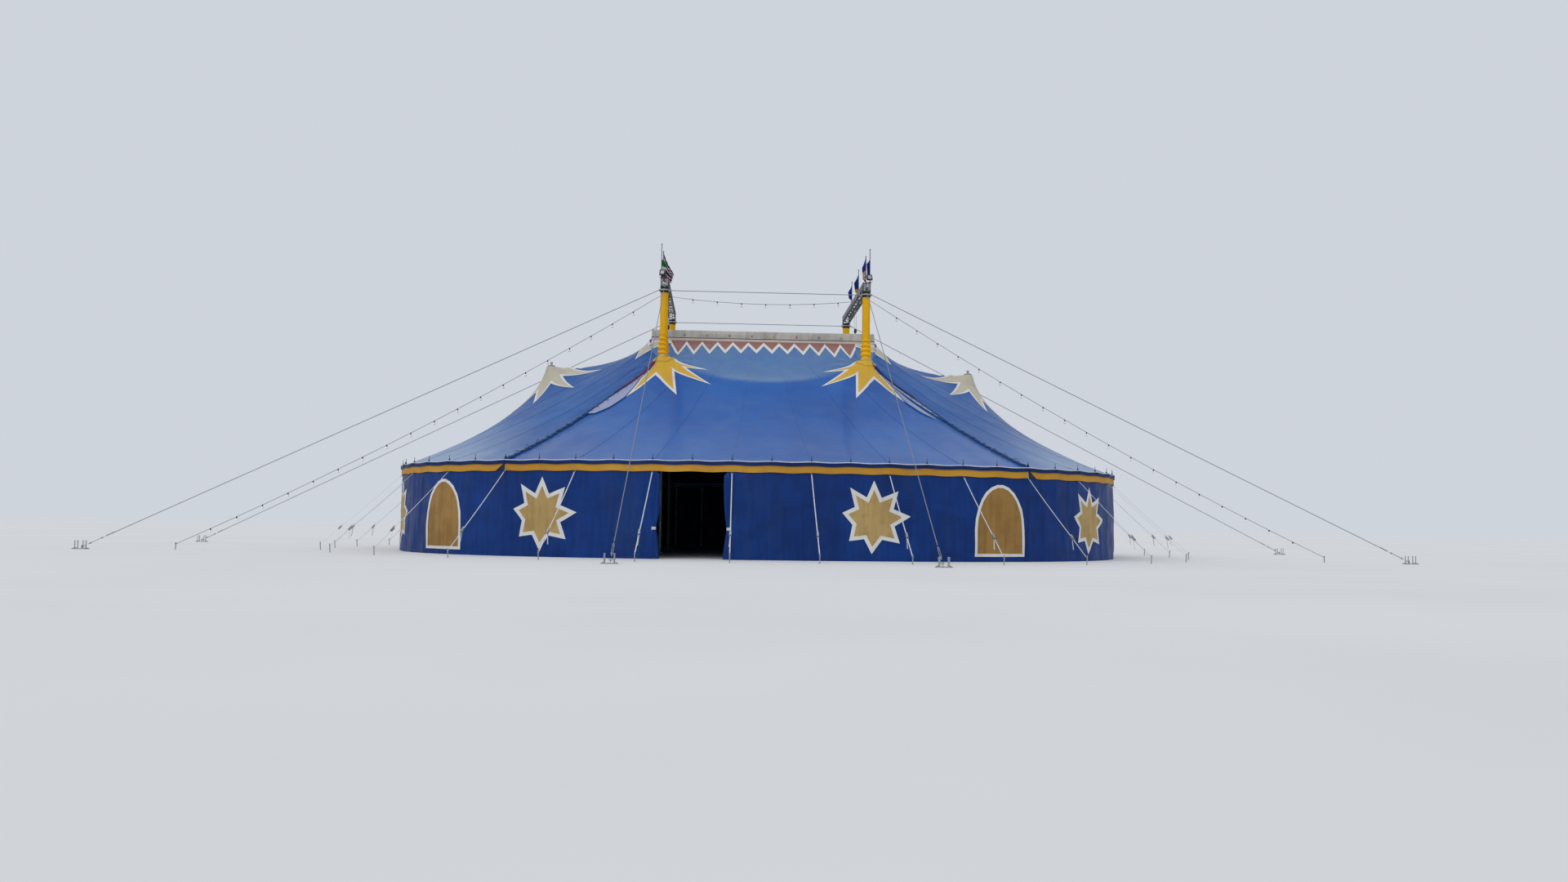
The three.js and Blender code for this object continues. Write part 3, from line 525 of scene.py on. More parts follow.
def about_x(angle):
    c, s = math.cos(angle), math.sin(angle)
    return np.array([(1, 0, 0), (0, c, -s), (0, s, c)])


def ring_of(centre, radius, wire, axis="z", count=20, sides=6):
    """A round wire ring about the Z or the Y axis."""
    rings = []
    for angle in turns(count):
        c, s = math.cos(angle), math.sin(angle)
        out, sign, up = ((c, s, 0), 1, (0, 0, 1)) if axis == "z" else ((c, 0, s), -1, (0, 1, 0))
        out, turn = np.array(out), turns(sides)
        section = np.outer(np.cos(turn), sign * out) + np.outer(np.sin(turn), up)
        rings.append(centre + radius * out + wire * section)
    return loft(rings, looped=True)


# The eave line

def rim_curve(turn):
    s, c = np.sin(turn), np.cos(turn)
    bend = 2 / RIM_POWER
    return np.stack([RIM_A * np.sign(s) * np.abs(s) ** bend, -RIM_B * np.sign(c) * np.abs(c) ** bend], -1)


def run_along(path):
    return np.concatenate([[0], np.cumsum(np.linalg.norm(np.diff(path, axis=0), axis=1))])


def at_run(path, distances):
    run = run_along(path)
    return np.column_stack([np.interp(distances, run, column) for column in path.T])


def rim_poles():
    """The side poles, at even distances along the eave, and the distance from one to the next."""
    steps = 8192
    points = rim_curve(2 * math.pi * np.arange(steps + 1) / steps)
    pitch = run_along(points)[-1] / SIDE_POLES
    return at_run(points, pitch * np.arange(SIDE_POLES)), pitch


POLES, POLE_PITCH = rim_poles()
RIM_SIZE = np.array([RIM_A, RIM_B])
POLE_NORMALS = unit(np.sign(POLES) * (np.abs(POLES) / RIM_SIZE) ** (RIM_POWER - 1) / RIM_SIZE)


def rim(k, outside=0.0):
    """The eave at pole number k, which may be between poles, moved outside by a distance."""
    k = np.asarray(k, float)
    i = np.floor(k).astype(int)
    t = (k - i)[..., None]
    spot, normal = (row[i % SIDE_POLES] * (1 - t) + row[(i + 1) % SIDE_POLES] * t
                    for row in (POLES, POLE_NORMALS))
    return spot + normal * np.asarray(outside, float)[..., None]


def rim_normal(k):
    return rim(k, 1.0) - rim(k, 0.0)


EAVE_DROP = 0.03


def eave_drop(k):
    """How far the eave hangs between two poles."""
    return EAVE_DROP * np.sin(math.pi * np.asarray(k, float)) ** 2


# The roof as a stretched skin, solved on a grid over one quarter of the plan

CELL = 0.1
GRID_MARGIN = 0.4
START_Z = 7.0
OVERSHOOT = 1.955
SWEEPS = 750


def solve_roof():
    nx, ny = (round((half + GRID_MARGIN) / CELL) for half in (RIM_A, RIM_B))
    x, y = np.meshgrid(np.arange(nx + 1) * CELL, np.arange(ny + 1) * CELL, indexing="ij")
    held = np.full(x.shape, np.nan)
    t = (x - CROWN_X) / (QUARTER_X - CROWN_X)
    ridge = CROWN_Z + (QUARTER_Z - CROWN_Z) * t - 4 * RIDGE_SAG * t * (1 - t)
    on_ridge = (y < CELL / 2) & (x < QUARTER_X)
    held[on_ridge] = ridge[on_ridge]
    held[np.hypot(x - QUARTER_X, y) < QUARTER_BASE_R] = QUARTER_Z
    held[np.hypot(x - MAST_X, y - MAST_Y) < BASE_R] = COLLAR_Z
    held[(x < CROWN_X + 1e-6) & (y < CROWN_Y + 1e-6)] = CROWN_Z
    held[(x / RIM_A) ** RIM_POWER + (y / RIM_B) ** RIM_POWER >= 1] = EAVE_Z
    z = np.where(np.isnan(held), START_Z, held)
    free = np.isnan(held)
    red = np.add.outer(np.arange(nx + 1), np.arange(ny + 1)) % 2 == 0
    for _ in range(SWEEPS):
        for colour in (free & red, free & ~red):
            around = np.pad(z, 1, mode="reflect")
            mean = (around[:-2, 1:-1] + around[2:, 1:-1] + around[1:-1, :-2] + around[1:-1, 2:]) / 4
            z[colour] += OVERSHOOT * (mean - z)[colour]
    return z


# The fold's half length, height and reach, and folds that run out from the masts
CREASE_HALF = 5.6
CREASE_RISE = 0.2
CREASE_WIDTH = 0.75
CREASE_ROUND = 0.12
PULL_RISE = 0.03
PULL_COUNT = 13
PULL_OUT, PULL_WIDTH = 0.9, 0.6

# How far in from the eave the roof runs straight, and how far in its sag between poles reaches
EDGE_BLEND = 0.4
SAG_REACH = 1.4
RIM_TABLE = np.arange(0, SIDE_POLES, 1 / 12)
RIM_SPOTS = rim(RIM_TABLE)


def grid_height(grid, x, y):
    """A height between the points of a grid over one quarter of the plan."""
    u = np.clip(np.abs(x) / CELL, 0, grid.shape[0] - 1.001)
    v = np.clip(np.abs(y) / CELL, 0, grid.shape[1] - 1.001)
    i, j = u.astype(int), v.astype(int)
    u, v = u - i, v - j
    near = grid[i, j] * (1 - v) + grid[i, j + 1] * v
    far = grid[i + 1, j] * (1 - v) + grid[i + 1, j + 1] * v
    return near * (1 - u) + far * u


def dressed_roof(z):
    """The stretched skin with its crease, its tension folds and the sag between side poles."""
    x, y = np.meshgrid(np.arange(z.shape[0]) * CELL, np.arange(z.shape[1]) * CELL, indexing="ij")
    away = np.abs(y - (CREASE_OUT - CREASE_BEND * x ** 2))
    fade = np.clip(1 - (x / CREASE_HALF) ** 2, 0, 1) ** 2
    fold = np.exp(-(np.hypot(away, CREASE_ROUND) - CREASE_ROUND) / CREASE_WIDTH)
    shaped = z + CREASE_RISE * fold * fade
    dx, dy = x - MAST_X, y - MAST_Y
    reach = np.hypot(dx, dy)
    pull = np.exp(-((reach - PULL_OUT) / PULL_WIDTH) ** 2)
    shaped += PULL_RISE * np.sin(PULL_COUNT * np.arctan2(dy, dx)) * pull
    near = (x / RIM_A) ** RIM_POWER + (y / RIM_B) ** RIM_POWER > 0.6
    spots = np.column_stack([x[near], y[near]])
    best = np.linalg.norm(spots[:, None] - RIM_SPOTS[None, :len(RIM_TABLE) // 2], axis=2).argmin(axis=1)
    k = RIM_TABLE[best]
    normal = rim_normal(k)
    inwards = -((spots - RIM_SPOTS[best]) * normal).sum(axis=1)
    inner = RIM_SPOTS[best] - normal * EDGE_BLEND
    slope = (grid_height(shaped, inner[:, 0], inner[:, 1]) - EAVE_Z) / EDGE_BLEND
    edge = EAVE_Z + slope * np.where(inwards > 0, inwards, 0.4 * inwards)
    height = np.where(inwards < EDGE_BLEND, edge, shaped[near])
    far = np.maximum(inwards, 0)
    shaped[near] = height - eave_drop(k) * (1 + 0.8 * far) * np.exp(-far / SAG_REACH)
    return shaped


ROOF = dressed_roof(solve_roof())


def roof_height(x, y):
    return grid_height(ROOF, x, y)


def roof_surface(plan, lift):
    """The roof over points in plan, lifted along its own normal."""
    x, y = plan[:, 0], plan[:, 1]
    step = 0.06
    slope_x = (roof_height(x + step, y) - roof_height(x - step, y)) / (2 * step)
    slope_y = (roof_height(x, y + step) - roof_height(x, y - step)) / (2 * step)
    normal = unit(np.column_stack([-slope_x, -slope_y, np.ones(len(x))]))
    return np.column_stack([x, y, roof_height(x, y)]) + lift * normal


# Flat shapes, cut into triangles and laid on a surface as thin closed cloth

def resampled(loop, spacing, closed=True):
    loop = np.asarray(loop, float)
    ends = np.roll(loop, -1, axis=0) if closed else loop[1:]
    out = []
    for a, b in zip(loop, ends):
        count = max(1, math.ceil(np.linalg.norm(b - a) / spacing))
        out.append(a + (b - a) * (np.arange(count) / count)[:, None])
    if not closed:
        out.append(loop[-1:])
    return np.vstack(out)


def inside(points, loop):
    x, y = points[:, 0], points[:, 1]
    hit = np.zeros(len(points), bool)
    for (ax, ay), (bx, by) in zip(loop, np.roll(loop, -1, axis=0)):
        if ay != by:
            hit ^= ((ay > y) != (by > y)) & (x < ax + (y - ay) * (bx - ax) / (by - ay))
    return hit


def triangulate(loops, cloud, holes=(), clearance=0.05):
    """Points and triangles that fill the loops but not the holes."""
    keep = np.zeros(len(cloud), bool)
    for loop in loops:
        low, high = loop.min(axis=0), loop.max(axis=0)
        near = ((cloud >= low) & (cloud <= high)).all(axis=1)
        keep[near] |= inside(cloud[near], loop)
    for hole in holes:
        keep &= ~inside(cloud, hole)
    cloud = cloud[keep]
    edge_points = np.vstack([*loops, *holes])
    if len(cloud):
        gap = np.full(len(cloud), np.inf)
        for start in range(0, len(edge_points), 200):
            part = edge_points[start:start + 200]
            gap = np.minimum(gap, np.linalg.norm(cloud[:, None] - part[None], axis=2).min(axis=1))
        cloud = cloud[gap > clearance]
    edges, start = [], 0
    for loop in (*loops, *holes):
        n = len(loop)
        edges += [(start + i, start + (i + 1) % n) for i in range(n)]
        start += n
    spots = [Vector(p) for p in np.vstack([edge_points, cloud])]
    made = delaunay_2d_cdt(spots, edges, [], 0, 1e-7)
    points = np.array([tuple(v) for v in made[0]])
    triangles = np.array([f for f in made[2] if len(f) == 3])
    a, b, c = (points[triangles[:, i]] for i in range(3))
    area = np.cross(b - a, c - a)
    triangles[area < 0] = triangles[area < 0][:, ::-1]
    middle = (a + b + c) / 3
    inner = np.zeros(len(triangles), bool)
    for loop in loops:
        inner |= inside(middle, loop)
    for hole in holes:
        inner &= ~inside(middle, hole)
    triangles = triangles[inner & (np.abs(area) > 1e-9)]
    used, triangles = np.unique(triangles, return_inverse=True)
    return points[used], triangles.reshape(-1, 3)


def laid(flat, triangles, surface, top, under):
    """A closed skin between two lifts of a surface."""
    n = len(flat)
    points = np.vstack([surface(flat, top), surface(flat, under)])
    ahead = {(a, b) for t in triangles for a, b in ((t[0], t[1]), (t[1], t[2]), (t[2], t[0]))}
    faces = [tuple(t) for t in triangles] + [tuple(t[::-1] + n) for t in triangles]
    faces += [(b, a, a + n, b + n) for a, b in sorted(ahead) if (b, a) not in ahead]
    return points, faces


def inset(loop, width):
    """The loop with each side moved inwards."""
    loop = np.asarray(loop, float)
    ahead = unit(np.roll(loop, -1, axis=0) - loop)
    doubled_area = np.cross(loop, np.roll(loop, -1, axis=0)).sum()
    normal = np.column_stack([-ahead[:, 1], ahead[:, 0]]) * math.copysign(1, doubled_area)
    out = []
    for i in range(len(loop)):
        n0, n1 = normal[i - 1], normal[i]
        both = n0 + n1
        out.append(loop[i] + both * width / max(0.5 * both @ both, 0.08))
    return np.array(out)


def circle(centre, radius, count=40, shift=0.0):
    angles = (np.arange(count) + shift) * 2 * math.pi / count
    return np.column_stack([centre[0] + radius * np.cos(angles), centre[1] + radius * np.sin(angles)])


def mirrored(loop, sx, sy):
    loop = np.asarray(loop, float) * (sx, sy)
    return loop if sx * sy > 0 else loop[::-1]


# Rings of points stand close round each mast and quarter pole, up to these distances
MAST_CLOSE = 2.9
QUARTER_CLOSE = 2.0


def plan_cloud():
    """Points in plan for the roof's triangles: close rings round the masts, and a grid elsewhere."""
    spacing = 0.3
    xs = np.arange(0.1, RIM_A, spacing)
    ys = np.arange(0.1, RIM_B, spacing)
    x, y = (a.ravel() for a in np.meshgrid(xs, ys, indexing="ij"))
    x = x + 0.5 * spacing * (np.round((y - 0.1) / spacing) % 2)
    apart = (np.hypot(x - MAST_X, y - MAST_Y) > MAST_CLOSE) & (np.hypot(x - QUARTER_X, y) > QUARTER_CLOSE)
    points = [np.column_stack([x, y])[apart]]
    for centre, r, end in (((MAST_X, MAST_Y), 0.3, MAST_CLOSE), ((QUARTER_X, 0), 0.1, QUARTER_CLOSE)):
        while r < end:
            ring = circle(centre, r, 44, 0.5 * (len(points) % 2))
            points.append(ring[ring[:, 1] > -0.05])
            r *= 1.14
    along = np.arange(0.05, CREASE_HALF, 0.14)
    points.append(np.column_stack([along, CREASE_OUT - CREASE_BEND * along ** 2]))
    quarter = np.vstack(points)
    quarter = quarter[(quarter > 0.02).all(axis=1)]
    return np.vstack([quarter * (sx, sy) for sx in (-1, 1) for sy in (-1, 1)])


CLOUD = plan_cloud()
HOLES = [circle((sx * MAST_X, sy * MAST_Y), SLEEVE_LOW_R + 0.004) for sx in (-1, 1) for sy in (-1, 1)]
HOLES += [circle((sx * QUARTER_X, 0), QUARTER_R + 0.004, 20) for sx in (-1, 1)]
BACK_RIGHT = BACK_CENTRE - SEAM_POLE
BACK_LEFT = BACK_CENTRE + SEAM_POLE
FRONT_LEFT = SIDE_POLES - SEAM_POLE
SEAM_POLES = {(1, -1): SEAM_POLE, (1, 1): BACK_RIGHT, (-1, 1): BACK_LEFT, (-1, -1): FRONT_LEFT}

# Each section runs from pole to pole, counted to the right, and between two seams
SECTIONS = {
    "front": (-SEAM_POLE, SEAM_POLE, (-1, -1), (1, -1)),
    "right": (SEAM_POLE, BACK_RIGHT, (1, -1), (1, 1)),
    "back": (BACK_RIGHT, BACK_LEFT, (1, 1), (-1, 1)),
    "left": (BACK_LEFT, FRONT_LEFT, (-1, 1), (-1, -1)),
}
SEAM_GAP = 0.004


def seam_line(sx, sy):
    """A laced seam in plan, from the crown's lip past the mast to the eave."""
    return np.array([(sx * (CROWN_X - CROWN_LIP), sy * (CROWN_Y - CROWN_LIP)), (sx * CROWN_X, sy * CROWN_Y),
                     (sx * MAST_X, sy * MAST_Y), rim(SEAM_POLES[sx, sy], RIM_OUT)])


def make_canopy(name, first, last, start, end):
    """One section's sheet: its outline runs along the eave and up the two seams to the crown's lip, and it is
    laid on the roof.
    """
    edge = rim(np.linspace(first, last, (last - first) * 8 + 1), RIM_OUT)
    up = resampled(seam_line(*end), 0.16, closed=False)[::-1]
    down = resampled(seam_line(*start), 0.16, closed=False)
    lip = resampled([up[-1], down[0]], 0.3, closed=False)
    loop = np.vstack([edge[:-1], up[:-1], lip[:-1], down[:-1]])
    centre = loop.mean(axis=0)
    loop = loop + unit(centre - loop) * SEAM_GAP
    for hole in HOLES:
        loop = loop[~inside(loop, hole)]
    flat, triangles = triangulate([loop], CLOUD, HOLES)
    made = piece(f"roof_{name}", [laid(flat, triangles, roof_surface, 0.0, -CLOTH_T)], ROOF_BLUE[name],
                 [f"canopy_{name}"])


# Garlands: cables from mast to mast and down to the pegs, with a bulb at every pitch

BULB_PITCH = 1.2
HOLDER = [(0.012, 0.016), (0.03, 0.01), (0.03, -0.075), (0.024, -0.08)]
GLOBE = [(0.02, -0.076), (0.05, -0.10), (0.06, -0.13), (0.05, -0.165), (0.022, -0.186)]
GARLAND_PEG_TOP = 0.31
SLEEVE_AT_GARLAND = SLEEVE_TOP_R + 0.02 * (MAST_TOP - GARLAND_Z) / (MAST_TOP - COLLAR_Z - 0.95) + 0.0006


def curve(name, path, radius, material, replaces):
    data = bpy.data.curves.new(name, "CURVE")
    data.dimensions = "3D"
    data.bevel_depth = radius * MODEL
    data.bevel_resolution = 2
    data.use_fill_caps = True
    spline = data.splines.new("POLY")
    spline.points.add(len(path) - 1)
    for point, spot in zip(spline.points, path * MODEL):
        point.co = (*spot, 1)
    data.materials.append(material)
    return in_frame(added(name, data), replaces)


def garland(name, start, lead, end, sag, level_end):
    """A hanging lamp cable with a short lead at each mast. Its far end is at a mast too, or at a peg."""
    t = np.linspace(0, 1, 67)
    start, end = np.array(start), np.array(end)
    path = start + (end - start) * t[:, None]
    path[:, 2] -= 4 * sag * t * (1 - t)
    path = np.vstack([start - (lead, 0, 0), path] + ([end + (lead, 0, 0)] if level_end else []))
    cable = curve(f"garland_cable_{name}", path, GARLAND_R, CABLE, [f"garland_{name}"])
    length = run_along(path)[-1]
    count = int((length - 1.0) / BULB_PITCH)
    first = (length - (count - 1) * BULB_PITCH) / 2
    spots = at_run(path, first + BULB_PITCH * np.arange(count))
    extras = [piece(f"garland_holders_{name}", [spun(HOLDER, spot, 8) for spot in spots], LAMP_BLACK),
              piece(f"garland_bulbs_{name}", [spun(GLOBE, spot, 10) for spot in spots], BULB)]
    if not level_end:
        peg = [tube([(*end[:2], 0), (*end[:2], GARLAND_PEG_TOP)], [0.02, 0.024], 10),
               ring_of(end + (0, 0, 0.035), 0.032, 0.009, "y")]
        extras.append(piece(f"garland_peg_{name}", peg, STEEL))


def make_garlands():
    start = MAST_X - SLEEVE_AT_GARLAND - GARLAND_LEAD
    garland("front", (-start, -MAST_Y, GARLAND_Z), GARLAND_LEAD, (start, -MAST_Y, GARLAND_Z), FRONT_SAG, True)
    for end, sx in ENDS:
        x = sx * (MAST_X + SLEEVE_AT_GARLAND + GARLAND_LEAD)
        peg = (sx * GARLAND_PEG[0], -GARLAND_PEG[1], GARLAND_PEG_Z)
        garland(end, (x, -MAST_Y, GARLAND_Z), sx * GARLAND_LEAD, peg, SIDE_SAG, False)


make_garlands()


# Roof sheets, the shapes sewn on them, the welds and the laced seams

# Lifts of the upper and lower face of what lies on the roof
BORDER_LIFT = (0.014, 0.004)
COLOUR_LIFT = (0.024, 0.012)
WELD_LIFT = (0.008, 0.001)


def on_roof(name, loops, lift, material, holes=()):
    flat, triangles = triangulate([resampled(loop, 0.14) for loop in loops], CLOUD, holes, 0.06)
    piece(name, [laid(flat, triangles, roof_surface, *lift)], material)


def sewn(border_name, name, outlines, fills, material, turn, place=(0, 0), holes=()):
    """White shapes with coloured ones on them, mirrored by turn and set at a place."""
    outlines, fills = ([mirrored(loop, *turn) + place for loop in loops] for loops in (outlines, fills))
    on_roof(border_name, outlines, BORDER_LIFT, WHITE, holes)
    on_roof(name, fills, COLOUR_LIFT, material, holes)


for section, ends in SECTIONS.items():
    make_canopy(section, *ends)

# Half star below each mast, seen from the mast with x inwards and y towards the crown. It ends
# along the laced seam. The quarter poles carry whole stars, whose rays are (angle in degrees, reach).
MAST_STAR = np.array([
    (-1.6, -2.25), (-0.96, -1.7), (-0.3, -1.04), (0.8, -2.88), (0.6, -0.98), (2.38, -2.2), (1.13, -0.72),
    (2.2, -0.84), (0.72, -0.16), (0.52, 0.16), (0.3, 0.44), (-0.05, 0.52), (-0.34, 0.3), (-0.42, -0.02),
    (-0.5, -0.38), (-0.78, -0.70), (-1.0, -0.94), (-1.15, -1.27)])
CAP_RAYS = (
    (-150, 2.5), (-101, 2.6), (-62.5, 3.49), (-32, 3.37), (32, 3.37), (62.5, 3.49), (101, 2.6), (150, 2.5))
CAP_NOTCH = 1.05
BORDER = 0.12
NARROW_ANGLE = 28
NARROW_NOTCH = 1.15


def star(rays, notch):
    """A star's outline. Between close rays, its notch is a little shallower."""
    loop = []
    for i, (angle, reach) in enumerate(rays):
        after = rays[(i + 1) % len(rays)][0] + (360 if i == len(rays) - 1 else 0)
        a, middle = math.radians(angle), math.radians((angle + after) / 2)
        depth = notch * (NARROW_NOTCH if after - angle < NARROW_ANGLE else 1.0)
        loop.append((reach * math.cos(a), reach * math.sin(a)))
        loop.append((depth * math.cos(middle), depth * math.sin(middle)))
    return np.array(loop)


def make_roof_stars():
    cap = star(CAP_RAYS, CAP_NOTCH)
    for end, sx in ENDS:
        for face, sy in FACES:
            mast = (sx * MAST_X, sy * MAST_Y)
            sewn(f"mast_border_{face}_{end}", f"mast_star_{face}_{end}", [MAST_STAR],
                 [inset(MAST_STAR, BORDER)], GOLD, (-sx, -sy), mast, [circle(mast, SLEEVE_LOW_R + 0.006)])
        pole = (sx * QUARTER_X, 0)
        sewn(f"cap_border_{end}", f"cap_star_{end}", [cap], [inset(cap, BORDER)], BEIGE, (-sx, 1), pole,
             [circle(pole, QUARTER_R + 0.01, 20)])


make_roof_stars()

# Teeth hang from the crown along its long sides and at its ends, with a cap on each corner
TEETH = 12
TOOTH_PITCH = 0.785
TOOTH_FOOT = 2.42
TOOTH_TIP = 3.62
TOOTH_DROOP = 0.02
TOOTH_ROOT = 0.42
TOOTH_BORDER = 0.35
END_TEETH = 4
END_PITCH = 2 * CROWN_Y / END_TEETH
END_TOOTH_FOOT = CROWN_X + 0.02
END_TOOTH_ROOT = 0.14
END_TOOTH_TIP = 6.66
CORNER_CAP = np.array([
    (4.72, 2.43), (5.82, 2.43), (5.82, 1.85), (6.02, 1.5), (6.95, 0.98), (6.24, 1.93), (6.5, 3.08),
    (5.45, 2.87), (4.72, 2.66)])
CAP_BORDER = 0.075


def tooth(middle, foot, half, root, tip, flat):
    """A tooth across from its middle and outwards from its foot, with a tip that is flat or sharp."""
    right = [(middle + half, foot), (middle + half, root), (middle + flat, tip)]
    left = [(2 * middle - x, y) for x, y in right[::-1]]
    return right + (left if flat else left[1:])


def make_crown_teeth():
    root = TOOTH_FOOT + TOOTH_ROOT
    spots = [(i - (TEETH - 1) / 2) * TOOTH_PITCH for i in range(TEETH)]
    tips = [TOOTH_TIP + TOOTH_DROOP * x ** 2 for x in spots]
    half = TOOTH_PITCH / 2
    white = [tooth(x, TOOTH_FOOT, half, root, tip, 0.02) for x, tip in zip(spots, tips)]
    colour = [tooth(x, TOOTH_FOOT, half - 0.005, root - TOOTH_BORDER, tip - TOOTH_BORDER, 0)
              for x, tip in zip(spots, tips)]
    for face, sy in FACES:
        sewn(f"teeth_border_{face}", f"teeth_{face}", white, colour, BURGUNDY, (1, sy))
    white, colour = [], []
    for i in range(END_TEETH):
        y, half = (i - (END_TEETH - 1) / 2) * END_PITCH, END_PITCH / 2
        foot, tip = END_TOOTH_FOOT, END_TOOTH_TIP
        outline = tooth(y, foot, half, foot + END_TOOTH_ROOT, tip + 0.1, 0.03)
        white.append(np.array(outline)[::-1, ::-1])
        colour.append([(foot, y - half + 0.05), (tip - 0.1, y), (foot, y + half - 0.05)])
    for sy in (-1, 1):
        corner = mirrored(CORNER_CAP, 1, sy)
        white.append(corner)
        colour.append(inset(corner, CAP_BORDER))
    for end, sx in ENDS:
        sewn(f"end_teeth_border_{end}", f"end_teeth_{end}", white, colour, BEIGE, (sx, 1))


make_crown_teeth()


def left_of(line):
    """Unit vectors to the left of a line in plan."""
    ahead = unit(np.gradient(line, axis=0))
    return np.column_stack([-ahead[:, 1], ahead[:, 0]])


def ribbon(line, width, lift):
    """A flat strip laid along a line on the roof, from one lift of its surface to another."""
    side = left_of(line) * np.broadcast_to(width, len(line))[:, None] / 2
    rows = [roof_surface(line + side * s, lift[0]) for s in (-1, 0, 1)]
    rows += [roof_surface(line + side * s, lift[1]) for s in (1, 0, -1)]
    return loft(np.stack(rows, axis=1))


WELD_BELLY = 1.9


def column_line(section, k):
    """A weld's line in plan, from the crown to the eave at one pole."""
    first, last = SECTIONS[section][:2]
    across = 2 * (k - first) / (last - first) - 1
    sign = -1 if section in ("front", "left") else 1
    if section in ("back", "left"):
        across = -across
    if section in ("front", "back"):
        start, middle = (across * CROWN_X, sign * CROWN_Y), (across * MAST_X, sign * MAST_Y)
    else:
        belly = WELD_BELLY * (1 - across ** 2)
        start, middle = (sign * CROWN_X, across * CROWN_Y), (sign * (MAST_X + belly), across * MAST_Y)
    return resampled([start, middle, rim(k, RIM_OUT - 0.02)], 0.16, closed=False)


def make_welds():
    for section, (first, last, *_) in SECTIONS.items():
        strips = [ribbon(column_line(section, k), 0.04, WELD_LIFT) for k in range(first + 2, last - 1, 2)]
        piece(f"welds_{section}", strips, ROOF_BLUE[section])


make_welds()

SEAM_START = 0.34
SEAM_STEP = 0.08
FLAP_W = 0.14
LINING_W = 0.12
LACE_PITCH = 0.17
LACE_OUT = (-0.09, 0.08)
LACE_LIFT = 0.085
EYE_LIFT = 0.075
LOOP_PITCH = 0.62
LOOP_LIFT = 0.07
SEAM_END = 0.03

# The lacing bows sideways from the straight seam: (run from the mast, bow)
SEAM_BOW = np.array([(0, 0), (1.0, 0.15), (1.8, 0.43), (2.7, 0.68), (4.2, 0.62), (6.9, 0.36), (8.0, 0.2),
                     (9.1, 0.04), (9.7, 0)])
LOOSE_CLOTH = (
    (-2.9, -3.3), (-2.3, -3.0), (-1.68, -2.36), (-1.2, -1.36), (-1.05, -1.0), (-0.82, -0.76), (-0.62, -0.58))


def seam_path(sx, a, b, run, bowed=True):
    """Points at the given runs along a seam, and the unit vector across it towards the end canopy."""
    ahead = (b - a) / np.linalg.norm(b - a)
    side = np.array([ahead[1], -ahead[0]]) * math.copysign(1, ahead[1] * sx)
    bow = np.interp(run, *SEAM_BOW.T) if bowed else 0 * run
    bow = np.convolve(np.pad(bow, 6, "edge"), np.full(13, 1 / 13), "valid")
    return a + ahead * run[:, None] + side * bow[:, None], side


def make_seam(name, sx, sy):
    """A laced seam: a narrow flap, its lining, loose cloth, and a rope in zigzag with standing loops."""
    random = np.random.default_rng(SEED + sx + 3 * sy)
    _, crown, mast, edge = seam_line(sx, sy)
    run = np.arange(0.05, np.linalg.norm(mast - crown) - SEAM_START, SEAM_STEP)
    short = ribbon(seam_path(sx, crown, mast, run, False)[0], LINING_W, (0.02, 0.004))
    length = np.linalg.norm(edge - mast)
    run = np.arange(SEAM_START, length - SEAM_END, SEAM_STEP)
    line, side = seam_path(sx, mast, edge, run)
    wave = 0.014 * np.sin(run * 5.1 + random.uniform(0, 6)) + random.normal(0, 0.004, len(run))
    grow = np.clip((run - 1.2) / 2.5, 0.25, 1)
    flap = ribbon(line - side * wave[:, None], (FLAP_W + wave) * grow, (0.06, 0.02))
    high = (run > 0.45) & (run < 2.6)
    lining = ribbon((line + side * 0.03)[high], (LINING_W + wave - 0.03 * run)[high], (0.1, 0.015))
    tall = 0.045 + 0.04 * np.clip((run - 2.2) / 1.0, 0, 1) + 0.014 * np.sin(run * 3.3)
    ropes = [tube(roof_surface(line, 0) + np.outer(tall, (0, 0, 1)), 0.019, 6)]
    step = np.arange(SEAM_START + 0.1, length - SEAM_END, LACE_PITCH)
    aside = np.array(LACE_OUT)[np.arange(len(step)) % 2]
    zigzag = seam_path(sx, mast, edge, step)[0] + np.outer(aside, side)
    ropes.append(tube(roof_surface(zigzag, LACE_LIFT), 0.011, 5))
    step = np.arange(SEAM_START + 0.5, length - SEAM_END - 0.3, LOOP_PITCH)
    ahead = np.array([*((edge - mast) / length), 0])
    for foot in roof_surface(seam_path(sx, mast, edge, step)[0], LOOP_LIFT):
        reach, rise = random.uniform(0.07, 0.11), random.uniform(0.05, 0.13)
        arc = np.linspace(0, math.pi, 9)
        loop = np.outer(reach * np.cos(arc), ahead) + np.outer(rise * np.sin(arc), (0, 0, 1))
        ropes.append(tube(foot + loop, 0.012, 5))
    eyes = [ring_of(spot, 0.03, 0.007, "z", 10, 5) for spot in roof_surface(zigzag[::2], EYE_LIFT)]
    outer, side = seam_path(sx, mast, edge, np.linspace(0.75, 4.5, 24))
    loose = np.vstack([outer - side * 0.05, mirrored(LOOSE_CLOTH, -sx, -sy) + mast])
    # The loose flap cloth is painted pale, a painted highlight
    on_roof(f"seam_loose_{name}", [loose], (0.06, 0.03), FLAP_SHEEN_BLUE)
    piece(f"seam_cover_{name}", [short], BLUE)
    piece(f"seam_flap_{name}", [flap], SEAM_BLUE)
    piece(f"seam_lining_{name}", [lining], LINING if sx < 0 else DEEP_BLUE)
    piece(f"seam_rope_{name}", ropes, LACING)
    piece(f"seam_eyes_{name}", eyes, STEEL)


for corner, sx, sy in CORNERS:
    make_seam(corner, sx, sy)


# Eave: strip, valance, belt, pins through the eave and guy straps

